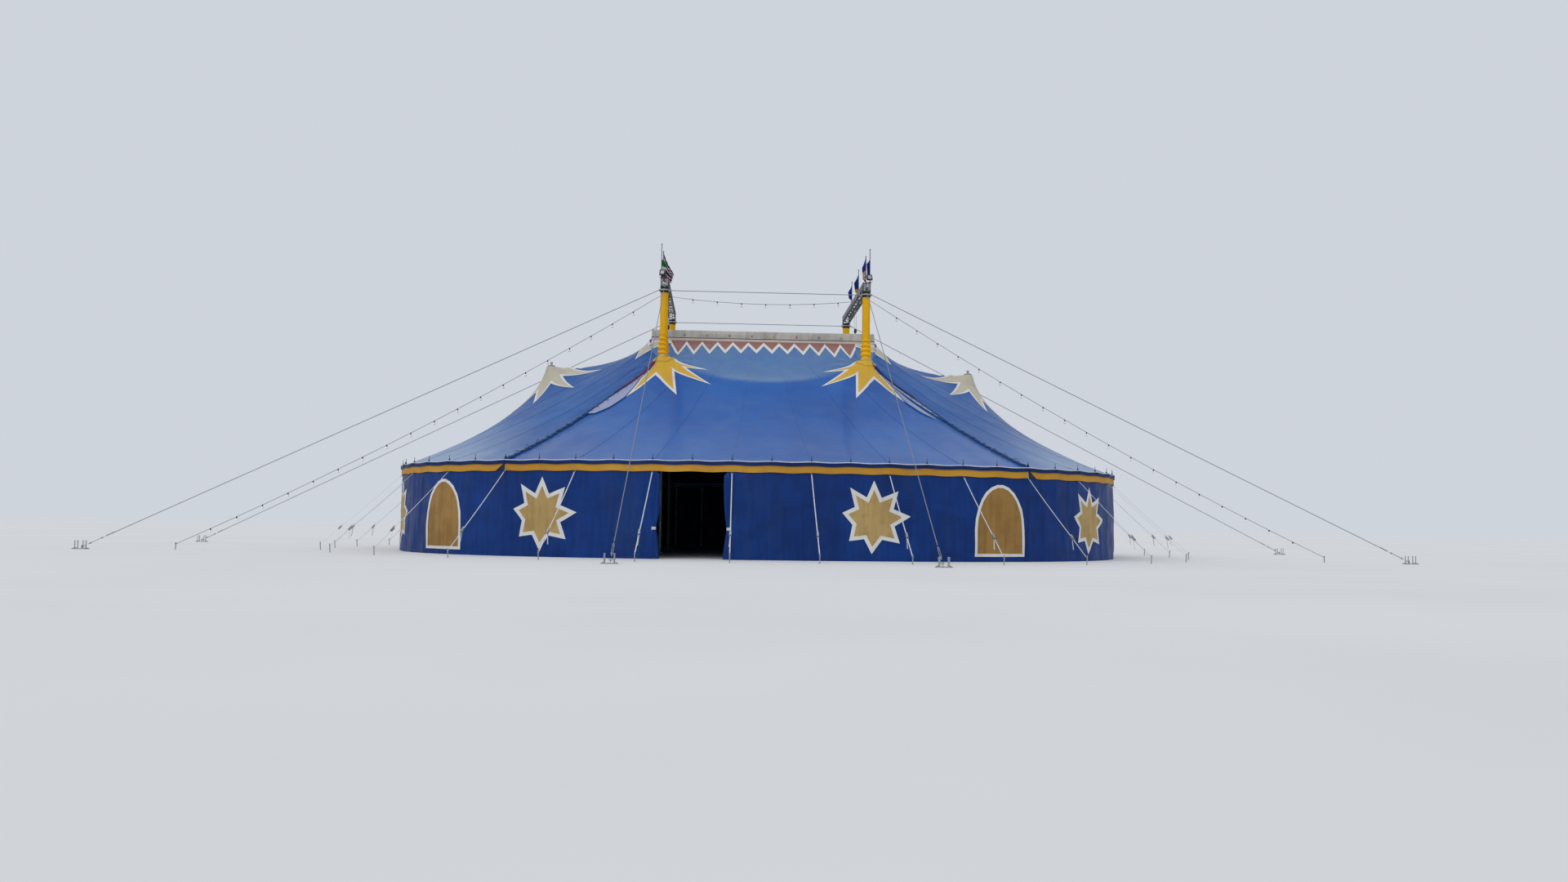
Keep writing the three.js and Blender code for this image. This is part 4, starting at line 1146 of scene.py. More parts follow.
VALANCE_TOP = 3.93
CORNER_SLANT = 0.27
END_GAP, CORNER_GAP = 0.004, 0.03
EAVE_CLOTH_T = 0.008
WELT_T = 0.006
WELT_DOWN, WELT_UP = 0.004, 0.03
HALVES = {"front": (-SIDE_CENTRE, SIDE_CENTRE), "back": (SIDE_CENTRE, SIDE_POLES - SIDE_CENTRE)}


def sheet_faces(rows, n):
    """Faces of a closed skin between two grids of points. The second grid's points come last."""
    under = rows * n
    faces = [(under + i, under + i + 1, i + 1, i) for i in range(n - 1)]
    for a in range(0, under - n, n):
        b = a + n - 1
        faces += [(a, a + n, under + a + n, under + a), (under + b, under + b + n, b + n, b)]
        for i in range(a, b):
            faces.append((i, i + 1, i + n + 1, i + n))
            faces.append((under + i + n, under + i + n + 1, under + i + 1, under + i))
    return faces + [(i, i + 1, under + i + 1, under + i) for i in range(under - n, under - 1)]


def along_eave(first, last, outside, low, high, thickness, step=0.1, rows=4, wave=0.0, slant=(0, 0)):
    """A band of cloth along the eave, with soft folds that grow towards its free lower edge. The slants draw
    the lower corners in."""
    even = np.linspace(0, 1, max(2, int((last - first) * POLE_PITCH / step)) + 1)
    points = []
    for lift in (thickness, 0.0):
        for share in np.linspace(0, 1, rows):
            begin, end = first + slant[0] * (1 - share), last - slant[1] * (1 - share)
            k = begin + (end - begin) * even
            u = k * POLE_PITCH
            folds = np.sin(u * 4.7 + 1.3 * np.sin(u * 0.9)) + 0.6 * np.sin(u * 9.1 + 2.0)
            plan = rim(k, outside + lift + wave * (1 - share) * folds)
            points.append(np.column_stack([plan, low + (high - low) * share - eave_drop(k)]))
    return np.vstack(points), sheet_faces(rows, len(even))


def make_eave():
    for half, (start, end) in HALVES.items():
        corners = (start + SIDE_CENTRE - SEAM_POLE, end - SIDE_CENTRE + SEAM_POLE)
        bands, strips, welts = [], [], []
        for first, last, gap, slant in ((start, corners[0], END_GAP, (0, CORNER_SLANT)),
                                        (*corners, CORNER_GAP, (0, 0)),
                                        (corners[1], end, END_GAP, (CORNER_SLANT, 0))):
            bands.append(along_eave(first + gap, last - gap, VALANCE_OUT, VALANCE_LOW, VALANCE_TOP,
                                    EAVE_CLOTH_T, 0.07, 4, 0.014, slant))
            welts.append(along_eave(first + gap + slant[0], last - gap - slant[1],
                                    VALANCE_OUT + EAVE_CLOTH_T, VALANCE_LOW - WELT_DOWN,
                                    VALANCE_LOW + WELT_UP, WELT_T, 0.1, 2))
            strips.append(along_eave(first + END_GAP / 2, last - END_GAP / 2, STRIP_OUT, STRIP_LOW,
                                     STRIP_TOP, EAVE_CLOTH_T, 0.1, 3, 0.006))
        valance = piece(f"valance_sheet_{half}", bands, YELLOW, [f"valance_{half}"])
        piece(f"valance_welt_{half}", welts, YELLOW)
        piece(f"eave_strip_{half}", strips, DEEP_BLUE)
    # Near-black sheets just behind the valance's slanted corner gaps: painted shade, where the tent's dark
    # inside shows
    gaps = []
    for (sx, sy), k in SEAM_POLES.items():
        first, last = sorted((k, k - sx * sy * CORNER_SLANT * 1.1))
        gaps.append(along_eave(first, last, VALANCE_OUT - 0.012, VALANCE_LOW + 0.02, VALANCE_TOP, 0.004,
                               0.1, 2))
    piece("valance_gaps_painted_shade", gaps, ROPE)


make_eave()


def strap(a, b, sag=0.03, count=10, width=STRAP_W, thickness=0.006):
    """A webbing strap with a slight sag, its flat side up."""
    t = np.linspace(0, 1, count)
    path = a + (b - a) * t[:, None]
    path[:, 2] -= 4 * sag * t * (1 - t)
    return band(path, width, thickness)


STRAP_IN = 0.012
SEWN_T = 0.005
SEWN_UP = 0.36
SHACKLE_DOWN = 0.1
SHACKLE_HALF, SHACKLE_R = 0.03, 0.009
RATCHET_SHARE = 0.76
PLATE_HALF, PLATE_UP, PLATE_DOWN = 0.036, 0.07, 0.13
SPOOL_HALF, SPOOL_R = 0.045, 0.022
TAIL_FALL = 0.42
STAKE_LEAN = 0.02
STAKE_R, STAKE_HEAD_R, STAKE_HEAD = 0.021, 0.03, 0.022


def guy_strap(k, lean):
    """The strap at one pole and its metal: shackle, sewn end, ratchet at hand height, tail and stake."""
    out = np.array((*rim_normal(k), 0.0))
    side, up = np.cross((0, 0, 1), out), np.array((0, 0, 1))
    top = np.array((*rim(k, VALANCE_OUT - STRAP_IN), VALANCE_LOW - 0.02))
    foot = np.array((*rim(k, STRAP_REACH), STRAP_FOOT_Z))
    along = unit(foot - top)
    eye, ratchet = top + along * SHACKLE_DOWN, top + (foot - top) * RATCHET_SHARE
    behind = [top - out * 0.016 + up * SEWN_UP, top - out * 0.014 + up * 0.03, top]
    tail = ratchet + along * 0.1 - up * TAIL_FALL + side * lean
    straps = [band(behind, STRAP_W, SEWN_T), strap(eye, ratchet),
              strap(ratchet + along * 0.12, foot - along * 0.05, 0.008, 5),
              strap(ratchet - up * 0.02, tail, 0.03, 6, STRAP_W * 0.9, SEWN_T)]
    metals = [tube([top + side * s, eye + side * s], SHACKLE_R, 6) for s in (-SHACKLE_HALF, SHACKLE_HALF)]
    metals.append(tube([eye - side * 0.04, eye + side * 0.04], SHACKLE_R, 6))
    for s in (-PLATE_HALF, PLATE_HALF):
        plate = ratchet + side * s
        metals.append(band([plate - along * PLATE_UP, plate + along * PLATE_DOWN], 0.008, 0.075))
    metals.append(tube([ratchet - side * SPOOL_HALF, ratchet + side * SPOOL_HALF], SPOOL_R, 8))
    handle = [ratchet + along * 0.1 + up * 0.045, ratchet - along * 0.1 + up * 0.075]
    metals.append(band(handle, 0.07, 0.012))
    base = foot * (1, 1, 0)
    head = base + out * STAKE_LEAN + up * STAKE_TOP
    metals.append(tube([base - out * 0.3 * STAKE_LEAN, head - up * 0.02], STAKE_R, 8))
    metals.append(tube([head - up * STAKE_HEAD, head], STAKE_HEAD_R, 8))
    metals.append(ring_of(base + up * STRAP_FOOT_Z, 0.034, 0.008, "z", 12, 5))
    metals.append(spun([(0.03, 0.0), (0.036, 0.0), (0.03, 0.012), (0.024, 0.012)], base, 8))
    return straps, metals


TAB_LOW, TAB_TOP = 3.9, 4.04
PIN_HEIGHTS = (3.96, 4.28, 4.31)
CONE_Z = 4.05
SEAM_CONE = 1.7


def make_straps():
    random = np.random.default_rng(SEED)
    for half, (first, last) in HALVES.items():
        straps, metals, tabs = [], [], []
        k = np.linspace(first + 0.001, last - 0.001, (last - first) * 8 + 1)
        # The belt along the eave is painted pale, a painted highlight
        belt = tube(np.column_stack([rim(k, BELT_OUT), BELT_Z - eave_drop(k)]), PIPING_R, 7)
        for k in range(first + 1, last):
            spot, tangent = rim(k, BELT_OUT + 0.004), np.cross((0, 0, 1), (*rim_normal(k), 0))
            tabs.append(band([(*spot, TAB_LOW), (*spot, TAB_TOP)], 0.07, 0.008, tangent))
            if k % 2:
                bands, fittings = guy_strap(k, random.uniform(-0.05, 0.05))
                straps += bands
                metals += fittings
        piece(f"edge_piping_{half}", [belt], PIPING, [f"guy_straps_{half}"])
        piece(f"edge_tabs_{half}", tabs, DEEP_BLUE)
        piece(f"strap_bands_{half}", straps, WEBBING)
        piece(f"strap_ratchets_{half}", metals, STEEL)
    pins, cones = [], []
    for k in range(SIDE_POLES):
        spot = rim(k, 0.04)
        size = SEAM_CONE if k in SEAM_POLES.values() else 1.0
        cone = [(0.055 * size, -0.03), (0.045 * size, 0.03), (0.012, 0.11 * size), (0.005, 0.112 * size)]
        pins.append(tube([(*spot, z) for z in PIN_HEIGHTS], [0.013, 0.011, 0.005], 7))
        cones.append(spun(cone, (*spot, CONE_Z), 12))
    piece("eave_pins", pins, DARK_STEEL)
    piece("eave_pin_cones", cones, DEEP_BLUE)


make_straps()


# Walls and the shapes sewn on them: flat across as pole number times the pole pitch, and up as height

WALL_FRONT_END = -8
WALLS = {"front_left": (WALL_FRONT_END, DOOR[0]), "front_right": (DOOR[1], SEAM_POLE),
         "right": (SEAM_POLE, BACK_RIGHT), "back": (BACK_RIGHT, BACK_LEFT),
         "left": (BACK_LEFT, SIDE_POLES + WALL_FRONT_END)}


def wall_folds(u, z):
    """How far the hanging wall stands out: slack between poles, long soft folds and pulls from the poles."""
    low = np.clip(1 - z / WALL_TOP, 0, 1)
    hold = np.clip((WALL_TOP - z) / 0.5, 0, 1)
    slack = 0.035 * np.sin(math.pi * u / POLE_PITCH) ** 2 * np.sin(math.pi * low) ** 0.8
    long_folds = 0.02 * np.sin(u * 5.3 + 1.7 * np.sin(z * 0.9 + u * 0.31)) * (0.3 + low)
    fine = 0.009 * np.sin(u * 13.7 + 2.2 * np.sin(z * 1.4) + 1.1 * np.sin(u * 0.7))
    cross = 0.012 * np.sin(z * 4.1 + 1.9 * np.sin(u * 1.3) + u * 0.8) * low
    pleats = 0.014 * np.sin(u * 9.2 + 1.4 * np.sin(u * 2.1)) * np.exp(-((WALL_TOP - 0.5 - z) / 0.7) ** 2)
    out = slack + long_folds + fine + cross + pleats - 0.008
    return 0.5 * (out + np.sqrt(out ** 2 + 0.01 ** 2)) * hold


def wall_surface(flat, lift):
    u, z = flat.T
    return np.column_stack([rim(u / POLE_PITCH, WALL_OUT + wall_folds(u, z) + lift), z])


WALL_SKIN = (0.0, -0.008)
WALL_END_GAP = 0.003
WALL_CLOUD = np.array([(u + 0.06 * (j % 2), z)
                       for u in np.arange(-9 * POLE_PITCH, 57 * POLE_PITCH, 0.13)
                       for j, z in enumerate(np.arange(0.1, WALL_TOP - 0.02, 0.17))])


def on_wall(name, loops, lift, material, replaces=(), spacing=0.13):
    flat, triangles = triangulate([resampled(loop, spacing) for loop in loops], WALL_CLOUD)
    return piece(name, [laid(flat, triangles, wall_surface, *lift)], material, replaces)


def make_walls():
    for name, (first, last) in WALLS.items():
        start, end = (first + WALL_END_GAP) * POLE_PITCH, (last - WALL_END_GAP) * POLE_PITCH
        loop = [(start, 0.0), (end, 0.0), (end, WALL_TOP), (start, WALL_TOP)]
        made = on_wall(f"wall_sheet_{name}", [loop], WALL_SKIN, WALL_BLUE, [f"wall_{name}"])


make_walls()

STAR_TIPS = (
    (-138, 1.38), (-93, 1.45), (-42, 1.5), (4, 1.58), (48, 1.55), (90, 1.58), (128, 1.62), (170, 1.34))
STAR_NOTCH = 0.93
STAR_Z = 1.75
STAR_HALF = 1.65
STAR_BORDER = 0.16
ARCH_HALF, ARCH_FOOT, ARCH_SPRING, ARCH_TOP, ARCH_ROOM = 1.25, 0.22, 1.35, 3.28, 0.05
ARCH_BORDER = 0.13

# Stars and arches in turn, at pole numbers, and the lifts of their faces
SHAPE_PITCH = 7
WALL_STARS = [-5.9] + [2.6 + SHAPE_PITCH * j for j in range(8)]
WALL_ARCHES = [6.1 + SHAPE_PITCH * j for j in range(7)] + [54.78]
WALL_BORDER = (0.009, 0.001)
WALL_COLOUR = (0.017, 0.007)


def arch():
    turn = np.linspace(0, math.pi, 14)
    over = np.column_stack([ARCH_HALF * np.cos(turn), ARCH_SPRING + (ARCH_TOP - ARCH_SPRING) * np.sin(turn)])
    return np.vstack([[(-ARCH_HALF, ARCH_FOOT), (ARCH_HALF, ARCH_FOOT)], over])


def on_one_wall(centre, half):
    """Whether a shape lies on the walls, clear of the doorway and the open front corner."""
    low, high = (centre - half) / POLE_PITCH, (centre + half) / POLE_PITCH
    runs = (WALLS["front_left"], (DOOR[1], SIDE_POLES + WALL_FRONT_END))
    return any(first < low and high < last for first, last in runs)


def make_wall_shapes():
    whites, golds, arches = [], [], []
    for shape, border, numbers, half, z, colours in (
            (star(STAR_TIPS, STAR_NOTCH), STAR_BORDER, WALL_STARS, STAR_HALF, STAR_Z, golds),
            (arch(), ARCH_BORDER, WALL_ARCHES, ARCH_HALF + ARCH_ROOM, 0, arches)):
        for centre in np.array(numbers) * POLE_PITCH:
            if on_one_wall(centre, half):
                whites.append(shape + (centre, z))
                colours.append(inset(shape, border) + (centre, z))
    for name, loops, lift, paint in (("borders", whites, WALL_BORDER, WHITE),
                                     ("stars", golds, WALL_COLOUR, WALL_GOLD),
                                     ("arches", arches, WALL_COLOUR, ARCH_GOLD)):
        for i in range(3):
            on_wall(f"wall_{name}_{i + 1}", loops[i::3], lift, paint, spacing=0.1)


make_wall_shapes()

CURTAIN_TIE_Z = 1.25
CURTAIN_NECK_Z = 3.5
CURTAIN_WAIST, CURTAIN_SPREAD = 0.055, 0.075
CURTAIN_FOLDS = 7


def make_curtains():
    """The doorway's two wall cloths, drawn back to its poles and tied there. Their tops are narrow, behind
    the valance."""
    drawn, ties = [], []
    angles = turns(28)
    for k, turned in zip(DOOR, (1, -1)):
        x, y = rim(k + turned * 0.06, 0.02)
        rings = []
        for z in np.linspace(0.02, WALL_TOP, 26):
            away = abs(z - CURTAIN_TIE_Z)
            waist = CURTAIN_WAIST + CURTAIN_SPREAD * min(1.0, away / 1.1) ** 0.8
            waist *= 1 - 0.65 * min(1.0, max(0.0, (z - CURTAIN_NECK_Z) / 0.1))
            folds = 0.22 * np.sin(CURTAIN_FOLDS * angles + 1.5 * math.sin(z)) * min(1.0, away / 0.4)
            r = waist * (1 + folds)
            rings.append(level_ring((x, y, z), angles, 1.5 * r, 0.8 * r))
        drawn.append(loft(rings))
        ties.append(spun([(0.085, -0.06), (0.095, -0.03), (0.095, 0.03), (0.085, 0.06)],
                         (x, y, CURTAIN_TIE_Z), 20))
    piece("doorway_curtains", drawn, WALL_BLUE)
    piece("doorway_ties", ties, WEBBING)


make_curtains()


# Masts: gathered sleeves, lattice heads, and what stands on the header trusses

SLEEVE_TIE_Z = 9.66
SLEEVE_TIE_IN, SLEEVE_TIE_REACH = 0.03, 0.05
TAPER_FOOT, TAPER_RISE = 9.95, 0.6
SLACK_TOP, SLACK_FADE = 10.85, 0.4
SLEEVE_SIDES = 72
SLEEVE_INNER = MAST_R + 0.004
SLEEVE_TOP = MAST_TOP - 0.01
SLEEVE_LEVELS = np.concatenate([np.linspace(SLEEVE_FOOT, 10.7, 42), np.linspace(10.78, SLEEVE_TOP, 22)])
TIE_BELT = ((0.226, -0.02), (0.246, -0.015), (0.246, 0.015), (0.226, 0.02))
TIE_TAIL = np.array([(0.24, -0.05, 0), (0.29, -0.1, -0.03), (0.3, -0.14, -0.16)])
SKIRT_R = 0.47
SKIRT_LIFT = (0.045, 0.03)


def make_sleeve(name, x, y, sx, sy):
    random = np.random.default_rng(SEED + 7 * sx + 2 * sy)
    angles = turns(SLEEVE_SIDES)
    phase = random.uniform(0, 6, 4)
    rings = []
    for z in SLEEVE_LEVELS:
        up = np.clip((z - TAPER_FOOT) / TAPER_RISE, 0, 1)
        up = up * up * (3 - 2 * up)
        mean = SLEEVE_LOW_R - 0.006 + (SLEEVE_TOP_R + 0.016 - SLEEVE_LOW_R) * up
        tied = math.exp(-((z - SLEEVE_TIE_Z) / SLEEVE_TIE_REACH) ** 2)
        slack = np.clip((SLACK_TOP - z) / SLACK_FADE, 0, 1) * (1 - tied)
        gather = (0.007 * slack + 0.002) * np.sin(16 * angles + 1.6 * math.sin(z * 5 + phase[2]))
        turned = 3.1 * np.sin(angles + phase[0]) + 1.6 * np.sin(2 * angles + phase[3]) + phase[1]
        crinkle = (0.03 * slack + 0.0025) * np.sin(z * (27 if slack > 0 else 9) + turned)
        r = mean - SLEEVE_TIE_IN * tied + gather + crinkle
        r = np.clip(r, MAST_R + 0.012, SLEEVE_LOW_R + 0.015)
        rings.append(level_ring((x, y, z), angles, r, r))
    rings += [level_ring((x, y, z), angles, SLEEVE_INNER, SLEEVE_INNER) for z in (SLEEVE_TOP, SLEEVE_FOOT)]
    piece(f"sleeve_{name}", [loft(rings, looped=True)], SLEEVE, [f"mast_sleeve_{name}"], 60)
    centre = (x, y, SLEEVE_TIE_Z)
    tie = [spun(TIE_BELT, centre, 32), tube(TIE_TAIL + centre, 0.018, 6)]
    piece(f"sleeve_ties_{name}", tie, WEBBING)
    angles = turns(96)
    r = SKIRT_R + 0.03 * np.sin(16 * angles) + 0.015 * np.sin(5 * angles + phase[0])
    outer = level_ring((x, y, 0), angles, r, r)[:, :2]
    hole = circle((x, y), SLEEVE_LOW_R + 0.008, 48)
    on_roof(f"sleeve_skirt_{name}", [outer], SKIRT_LIFT, GOLD, [hole])


LATTICE_R = 0.185
BOLT_R = 0.2
HEAD_FOOT = ((0.09, 0), (0.205, 0), (0.21, 0.03), (0.09, 0.03))
HEAD_LID = ((0.09, -0.04), (0.22, -0.04), (0.225, -0.006), (0.215, 0), (0.09, 0))
BOLT = ((0.014, -0.036), (0.014, 0.006), (0.009, 0.01))


def make_head(name, x, y):
    low, high, r = MAST_TOP + 0.004, HEAD_TOP - 0.004, LATTICE_R
    parts = [spun(HEAD_FOOT, (x, y, low), 28), spun(HEAD_LID, (x, y, high), 28),
             spun([(0.15, low), (0.15, high)], (x, y, 0), 20)]
    for a in turns(8):
        here, there = [(x + r * math.cos(t), y + r * math.sin(t)) for t in (a, a + math.pi / 4)]
        parts.append(tube([(*here, low + 0.01), (*here, high - 0.02)], 0.014, 6))
        parts.append(tube([(*here, low + 0.012), (*there, high - 0.028)], 0.009, 6))
        parts.append(tube([(*there, low + 0.012), (*here, high - 0.028)], 0.009, 6))
        bolt = (x + BOLT_R * math.cos(a + 0.39), y + BOLT_R * math.sin(a + 0.39), high)
        parts.append(spun(BOLT, bolt, 6))
    parts.append(ring_of((x, y, (low + high) / 2), r, 0.008, "z", 32, 6))
    piece(f"head_{name}", parts, DARK_STEEL, [f"mast_head_{name}"])


TRUSS_LOW = HEAD_TOP + 0.0006
BAYS = 24
BRACE_R, CROSS_R, POST_R, CLAMP_R = 0.014, 0.016, 0.02, 0.034

# The grey rails under the roof chord: (height, distance down)
RAILS = ((0.12, 0.075), (0.1, 0.205))


def make_truss(name, x):
    half_w, end = (TRUSS_W - CHORD) / 2, TRUSS_END - 0.02
    sides = (x - half_w, x + half_w)
    floor, roof = TRUSS_LOW + CHORD / 2, TRUSS_TOP - CHORD / 2
    parts, pale = [], []
    for side in sides:
        for z in (floor, roof):
            chord = tube([(side, -end, z), (side, end, z)], CHORD / 2 * 0.98, 12)
            (pale if (side - x) * x < 0 and z == roof else parts).append(chord)
    stops = np.linspace(-end, end, BAYS + 1)
    for i, (y0, y1) in enumerate(zip(stops, stops[1:])):
        for side in sides:
            parts.append(tube([(side, y0, floor), (side, y1, roof)], BRACE_R, 6))
            parts.append(tube([(side, y0, roof), (side, y1, floor)], BRACE_R, 6))
        start, stop = sides[::-1] if i % 2 else sides
        parts += [tube([(start, y0, z), (stop, y1, z)], CROSS_R, 6) for z in (floor, roof)]
    for y in (-end, -end / 2, 0, end / 2, end):
        parts += [tube([(side, y, floor), (side, y, roof)], POST_R, 8) for side in sides]
        parts += [tube([(sides[0], y, z), (sides[1], y, z)], POST_R, 8) for z in (floor, roof)]
    for y in (-end, end):
        parts.append(tube([(x, y, floor), (x, y, roof)], BRACE_R, 6))
        parts += [tube([(side, y - 0.012, z), (side, y + 0.012, z)], CLAMP_R, 10)
                  for side in sides for z in (floor, roof)]
    piece(f"truss_{name}", parts, TRUSS_STEEL, [f"header_truss_{name}"])
    if x > 0:
        pale += [block((0.012, 2 * end - 0.3, height), (sides[0] - 0.026, 0, roof - down))
                 for height, down in RAILS]
    piece(f"truss_rail_{name}", pale, RAIL_STEEL)
    flats = [block((0.1, 0.012, roof - floor - 0.06), (x + dx, -end - 0.02, (floor + roof) / 2))
             for dx in (-0.115, 0.115)]
    piece(f"truss_end_{name}", flats, END_STEEL)


LAMP_TILT = -0.35
LAMP_TURN = {"left": -0.25, "right": 0.3}
LAMP_OUT = 0.1
LAMP_UP = 0.22
LAMP_SHELL = ((-0.075, 0.125, 0.125), (-0.055, 0.14, 0.14), (0.02, 0.13, 0.13), (0.075, 0.10, 0.08))
LAMP_CORNERS = ((-1, -1, 180), (-1, 1, 90), (1, 1, 0), (1, -1, -90))
LAMP_CORNER_R = 0.03
FIN_COUNT, FIN_PITCH, FIN_SIZE = 9, 0.02, (0.006, 0.03, 0.16)
LAMP_FRONT = -0.075
FRAME_HIGH, FRAME_WIDE = (0.05, 0.03, 0.29), (0.28, 0.03, 0.05)
FACE_SIZE = (0.2, 0.006, 0.21)
BRACKET_HALF = 0.155
BRACKET_PAD = ((0.035, 0.0), (0.035, 0.014), (0.02, 0.02))


def make_floodlight(name, x):
    y = -TRUSS_END + 0.02
    x += math.copysign(LAMP_OUT, x)
    centre = np.array((x, y - 0.04, TRUSS_TOP + LAMP_UP))
    turn = about_z(LAMP_TURN[name]) @ about_x(LAMP_TILT)
    rings = []
    for depth, wide, high in LAMP_SHELL:
        rings.append(np.array([(sx * (wide - LAMP_CORNER_R) + LAMP_CORNER_R * math.cos(angle), depth,
                                sz * (high - LAMP_CORNER_R) + LAMP_CORNER_R * math.sin(angle))
                               for sx, sz, start in LAMP_CORNERS
                               for angle in np.radians([start + 90, start + 60, start + 30, start])]))
    body = [loft(rings)]
    body += [block(FIN_SIZE, ((i - (FIN_COUNT - 1) / 2) * FIN_PITCH, 0.075, 0)) for i in range(FIN_COUNT)]
    for side in (-1, 1):
        body.append(block(FRAME_HIGH, (0.115 * side, LAMP_FRONT, 0)))
        body.append(block(FRAME_WIDE, (0, LAMP_FRONT, 0.12 * side)))
    body = [moved(part, turn, centre) for part in body]
    piece(f"floodlight_body_{name}", body, LAMP_BLACK, [f"floodlight_{name}"])
    face = moved(block(FACE_SIZE, (0, LAMP_FRONT - 0.002, 0)), turn, centre)
    piece(f"floodlight_glass_{name}", [face], GLASS)
    bracket = []
    back, pin = y - 0.03, TRUSS_TOP + LAMP_UP
    for dx in (-BRACKET_HALF, BRACKET_HALF):
        bracket.append(band([(x + dx, y, TRUSS_TOP + 0.02), (x + dx, back, pin + 0.03)], 0.008, 0.035))
        bracket.append(tube([(x + dx * 1.04, back, pin), (x + dx * 0.85, back, pin)], 0.016, 8))
    bracket.append(block((0.32, 0.035, 0.01), (x, y, TRUSS_TOP + 0.018)))
    bracket.append(spun(BRACKET_PAD, (x, y, TRUSS_TOP + 0.001), 12))
    piece(f"floodlight_bracket_{name}", bracket, DARK_STEEL)


COVER_SLOPE = (COVER_RIDGE_Z - COVER_TOP) / (COVER_X - COVER_RIDGE_X)
WHEEL_Z = BLOCK_Z + 0.03
WHEEL = ((0.01, -0.02), (0.062, -0.022), (0.05, 0), (0.062, 0.022), (0.01, 0.02))
CHEEK_X, CHEEK_Z, CHEEK_OUT, CHEEK_HALF = 0.075, 0.125, 0.036, 0.005
HOOK = ((0, 0, -0.11), (0, 0, -0.16), (0.03, 0, -0.19), (0.03, 0, -0.22), (0, 0, -0.24), (-0.028, 0, -0.225))
HOIST_PAD = ((0.05, 0.0), (0.05, 0.012), (0.02, 0.018))


def make_hoist(name, x):
    seat = COVER_TOP + COVER_SLOPE * (COVER_X - abs(x)) + 0.03
    cheek = level_ring((x, BLOCK_Z, 0), turns(24), CHEEK_X, CHEEK_Z)[:, [0, 2, 1]]
    parts = [loft([cheek + (0, y - CHEEK_HALF, 0), cheek + (0, y + CHEEK_HALF, 0)])
             for y in (-CHEEK_OUT, CHEEK_OUT)]
    parts.append(moved(spun(WHEEL), about_x(math.pi / 2), (x, 0, WHEEL_Z)))
    parts.append(tube([(x, -0.045, WHEEL_Z), (x, 0.045, WHEEL_Z)], 0.014, 10))
    parts.append(tube(np.array(HOOK) + (x, 0, BLOCK_Z), 0.011, 8))
    piece(f"hoist_block_{name}", parts, DARK_STEEL, [f"hoist_{name}"])
    lines = [tube([(x + dx, 0, BLOCK_Z + 0.04), (x + dx * 0.5, 0, HEAD_TOP + 0.03)], 0.008, 6)
             for dx in (-0.055, 0.055)]
    lines.append(tube([(x, 0, BLOCK_Z - 0.22), (x, 0, seat + 0.03)], 0.009, 6))
    piece(f"hoist_cable_{name}", lines, STEEL)
    plate = [spun(HOIST_PAD, (x, 0, seat - 0.006), 12),
             ring_of((x, 0, seat + 0.03), 0.026, 0.008, "y", 12, 5)]
    piece(f"hoist_seat_{name}", plate, STEEL)


# Flags: generic coloured bands, hanging limp in pleats

FINE_PITCH = 0.004
FLAG_SHADES = {
    "red": ((0.50, 0.03, 0.03), (0.38, 0.02, 0.02), (0.2, 0.05, 0.05)),
    "blue": ((0.02, 0.06, 0.36), (0.015, 0.04, 0.26), (0.05, 0.06, 0.1)),
    "green": ((0.02, 0.24, 0.07), (0.015, 0.17, 0.05), (0.05, 0.1, 0.05)),
    "yellow": ((0.80, 0.50, 0.03), (0.68, 0.40, 0.02), (0.4, 0.3, 0.1)),
    "white": ((0.78, 0.78, 0.76), (0.68, 0.68, 0.66), (0.4, 0.4, 0.38)),
    "maroon": ((0.24, 0.02, 0.045), (0.18, 0.015, 0.035), (0.12, 0.03, 0.05)),
    "navy": ((0.012, 0.02, 0.08), (0.008, 0.013, 0.05), (0.03, 0.03, 0.05)),
}
FLAG_CLOTHS = [cloth(f"flag_{name}", *shades, pitch=FINE_PITCH) for name, shades in FLAG_SHADES.items()]
RED, SEA, GREEN, SUN, PALE, WINE, NAVY = range(7)

# Each flag's bands from its top down: (share of the hoist where the band ends, colour)
FLAG_BANDS = {
    "left": (((0.35, GREEN), (0.6, PALE), (1.0, GREEN)),
             ((0.15, NAVY), (0.21, PALE), (0.36, WINE), (0.42, PALE), (0.58, NAVY), (0.64, PALE),
              (0.84, WINE), (0.9, PALE), (1.0, WINE)),
             ((1.0, SEA),), ((0.34, SUN), (0.67, SEA), (1.0, SUN))),
    "right": (((1.0, SEA),),
              ((0.42, SEA), (0.5, RED), (0.58, PALE), (0.66, RED), (0.74, PALE), (0.82, RED), (0.9, PALE),
               (1.0, RED)),
              ((0.68, SEA), (1.0, SUN)), ((1.0, SEA),)),
}

# Each flag's top, the height of its hoist, its reach from the staff and the fall of its upper edge
FLAG_SHAPES = {
    "left": ((14.5, 1.0, 0.26, 0.3), (15.22, 1.45, 0.6, 1.15), (14.7, 0.8, 0.1, 0.4), (14.7, 0.8, 0.1, 0.4)),
    "right": ((14.72, 1.0, -0.17, 0.25), (15.22, 1.3, -0.22, 0.6), (15.0, 1.1, -0.24, 0.5),
              (15.05, 0.85, -0.22, 0.4)),
}

PLEATS = 4.5
FLAG_ROWS, FLAG_COLUMNS = 20, 72
FLAG_HALF = 0.004
STAFF_FOOT = ((0.03, 0.0), (0.045, 0.004), (0.045, 0.05), (0.02, 0.075))
STAFF_BALL = ((0.012, -0.07), (0.026, -0.055), (0.032, -0.032), (0.026, -0.01), (0.008, 0.0))


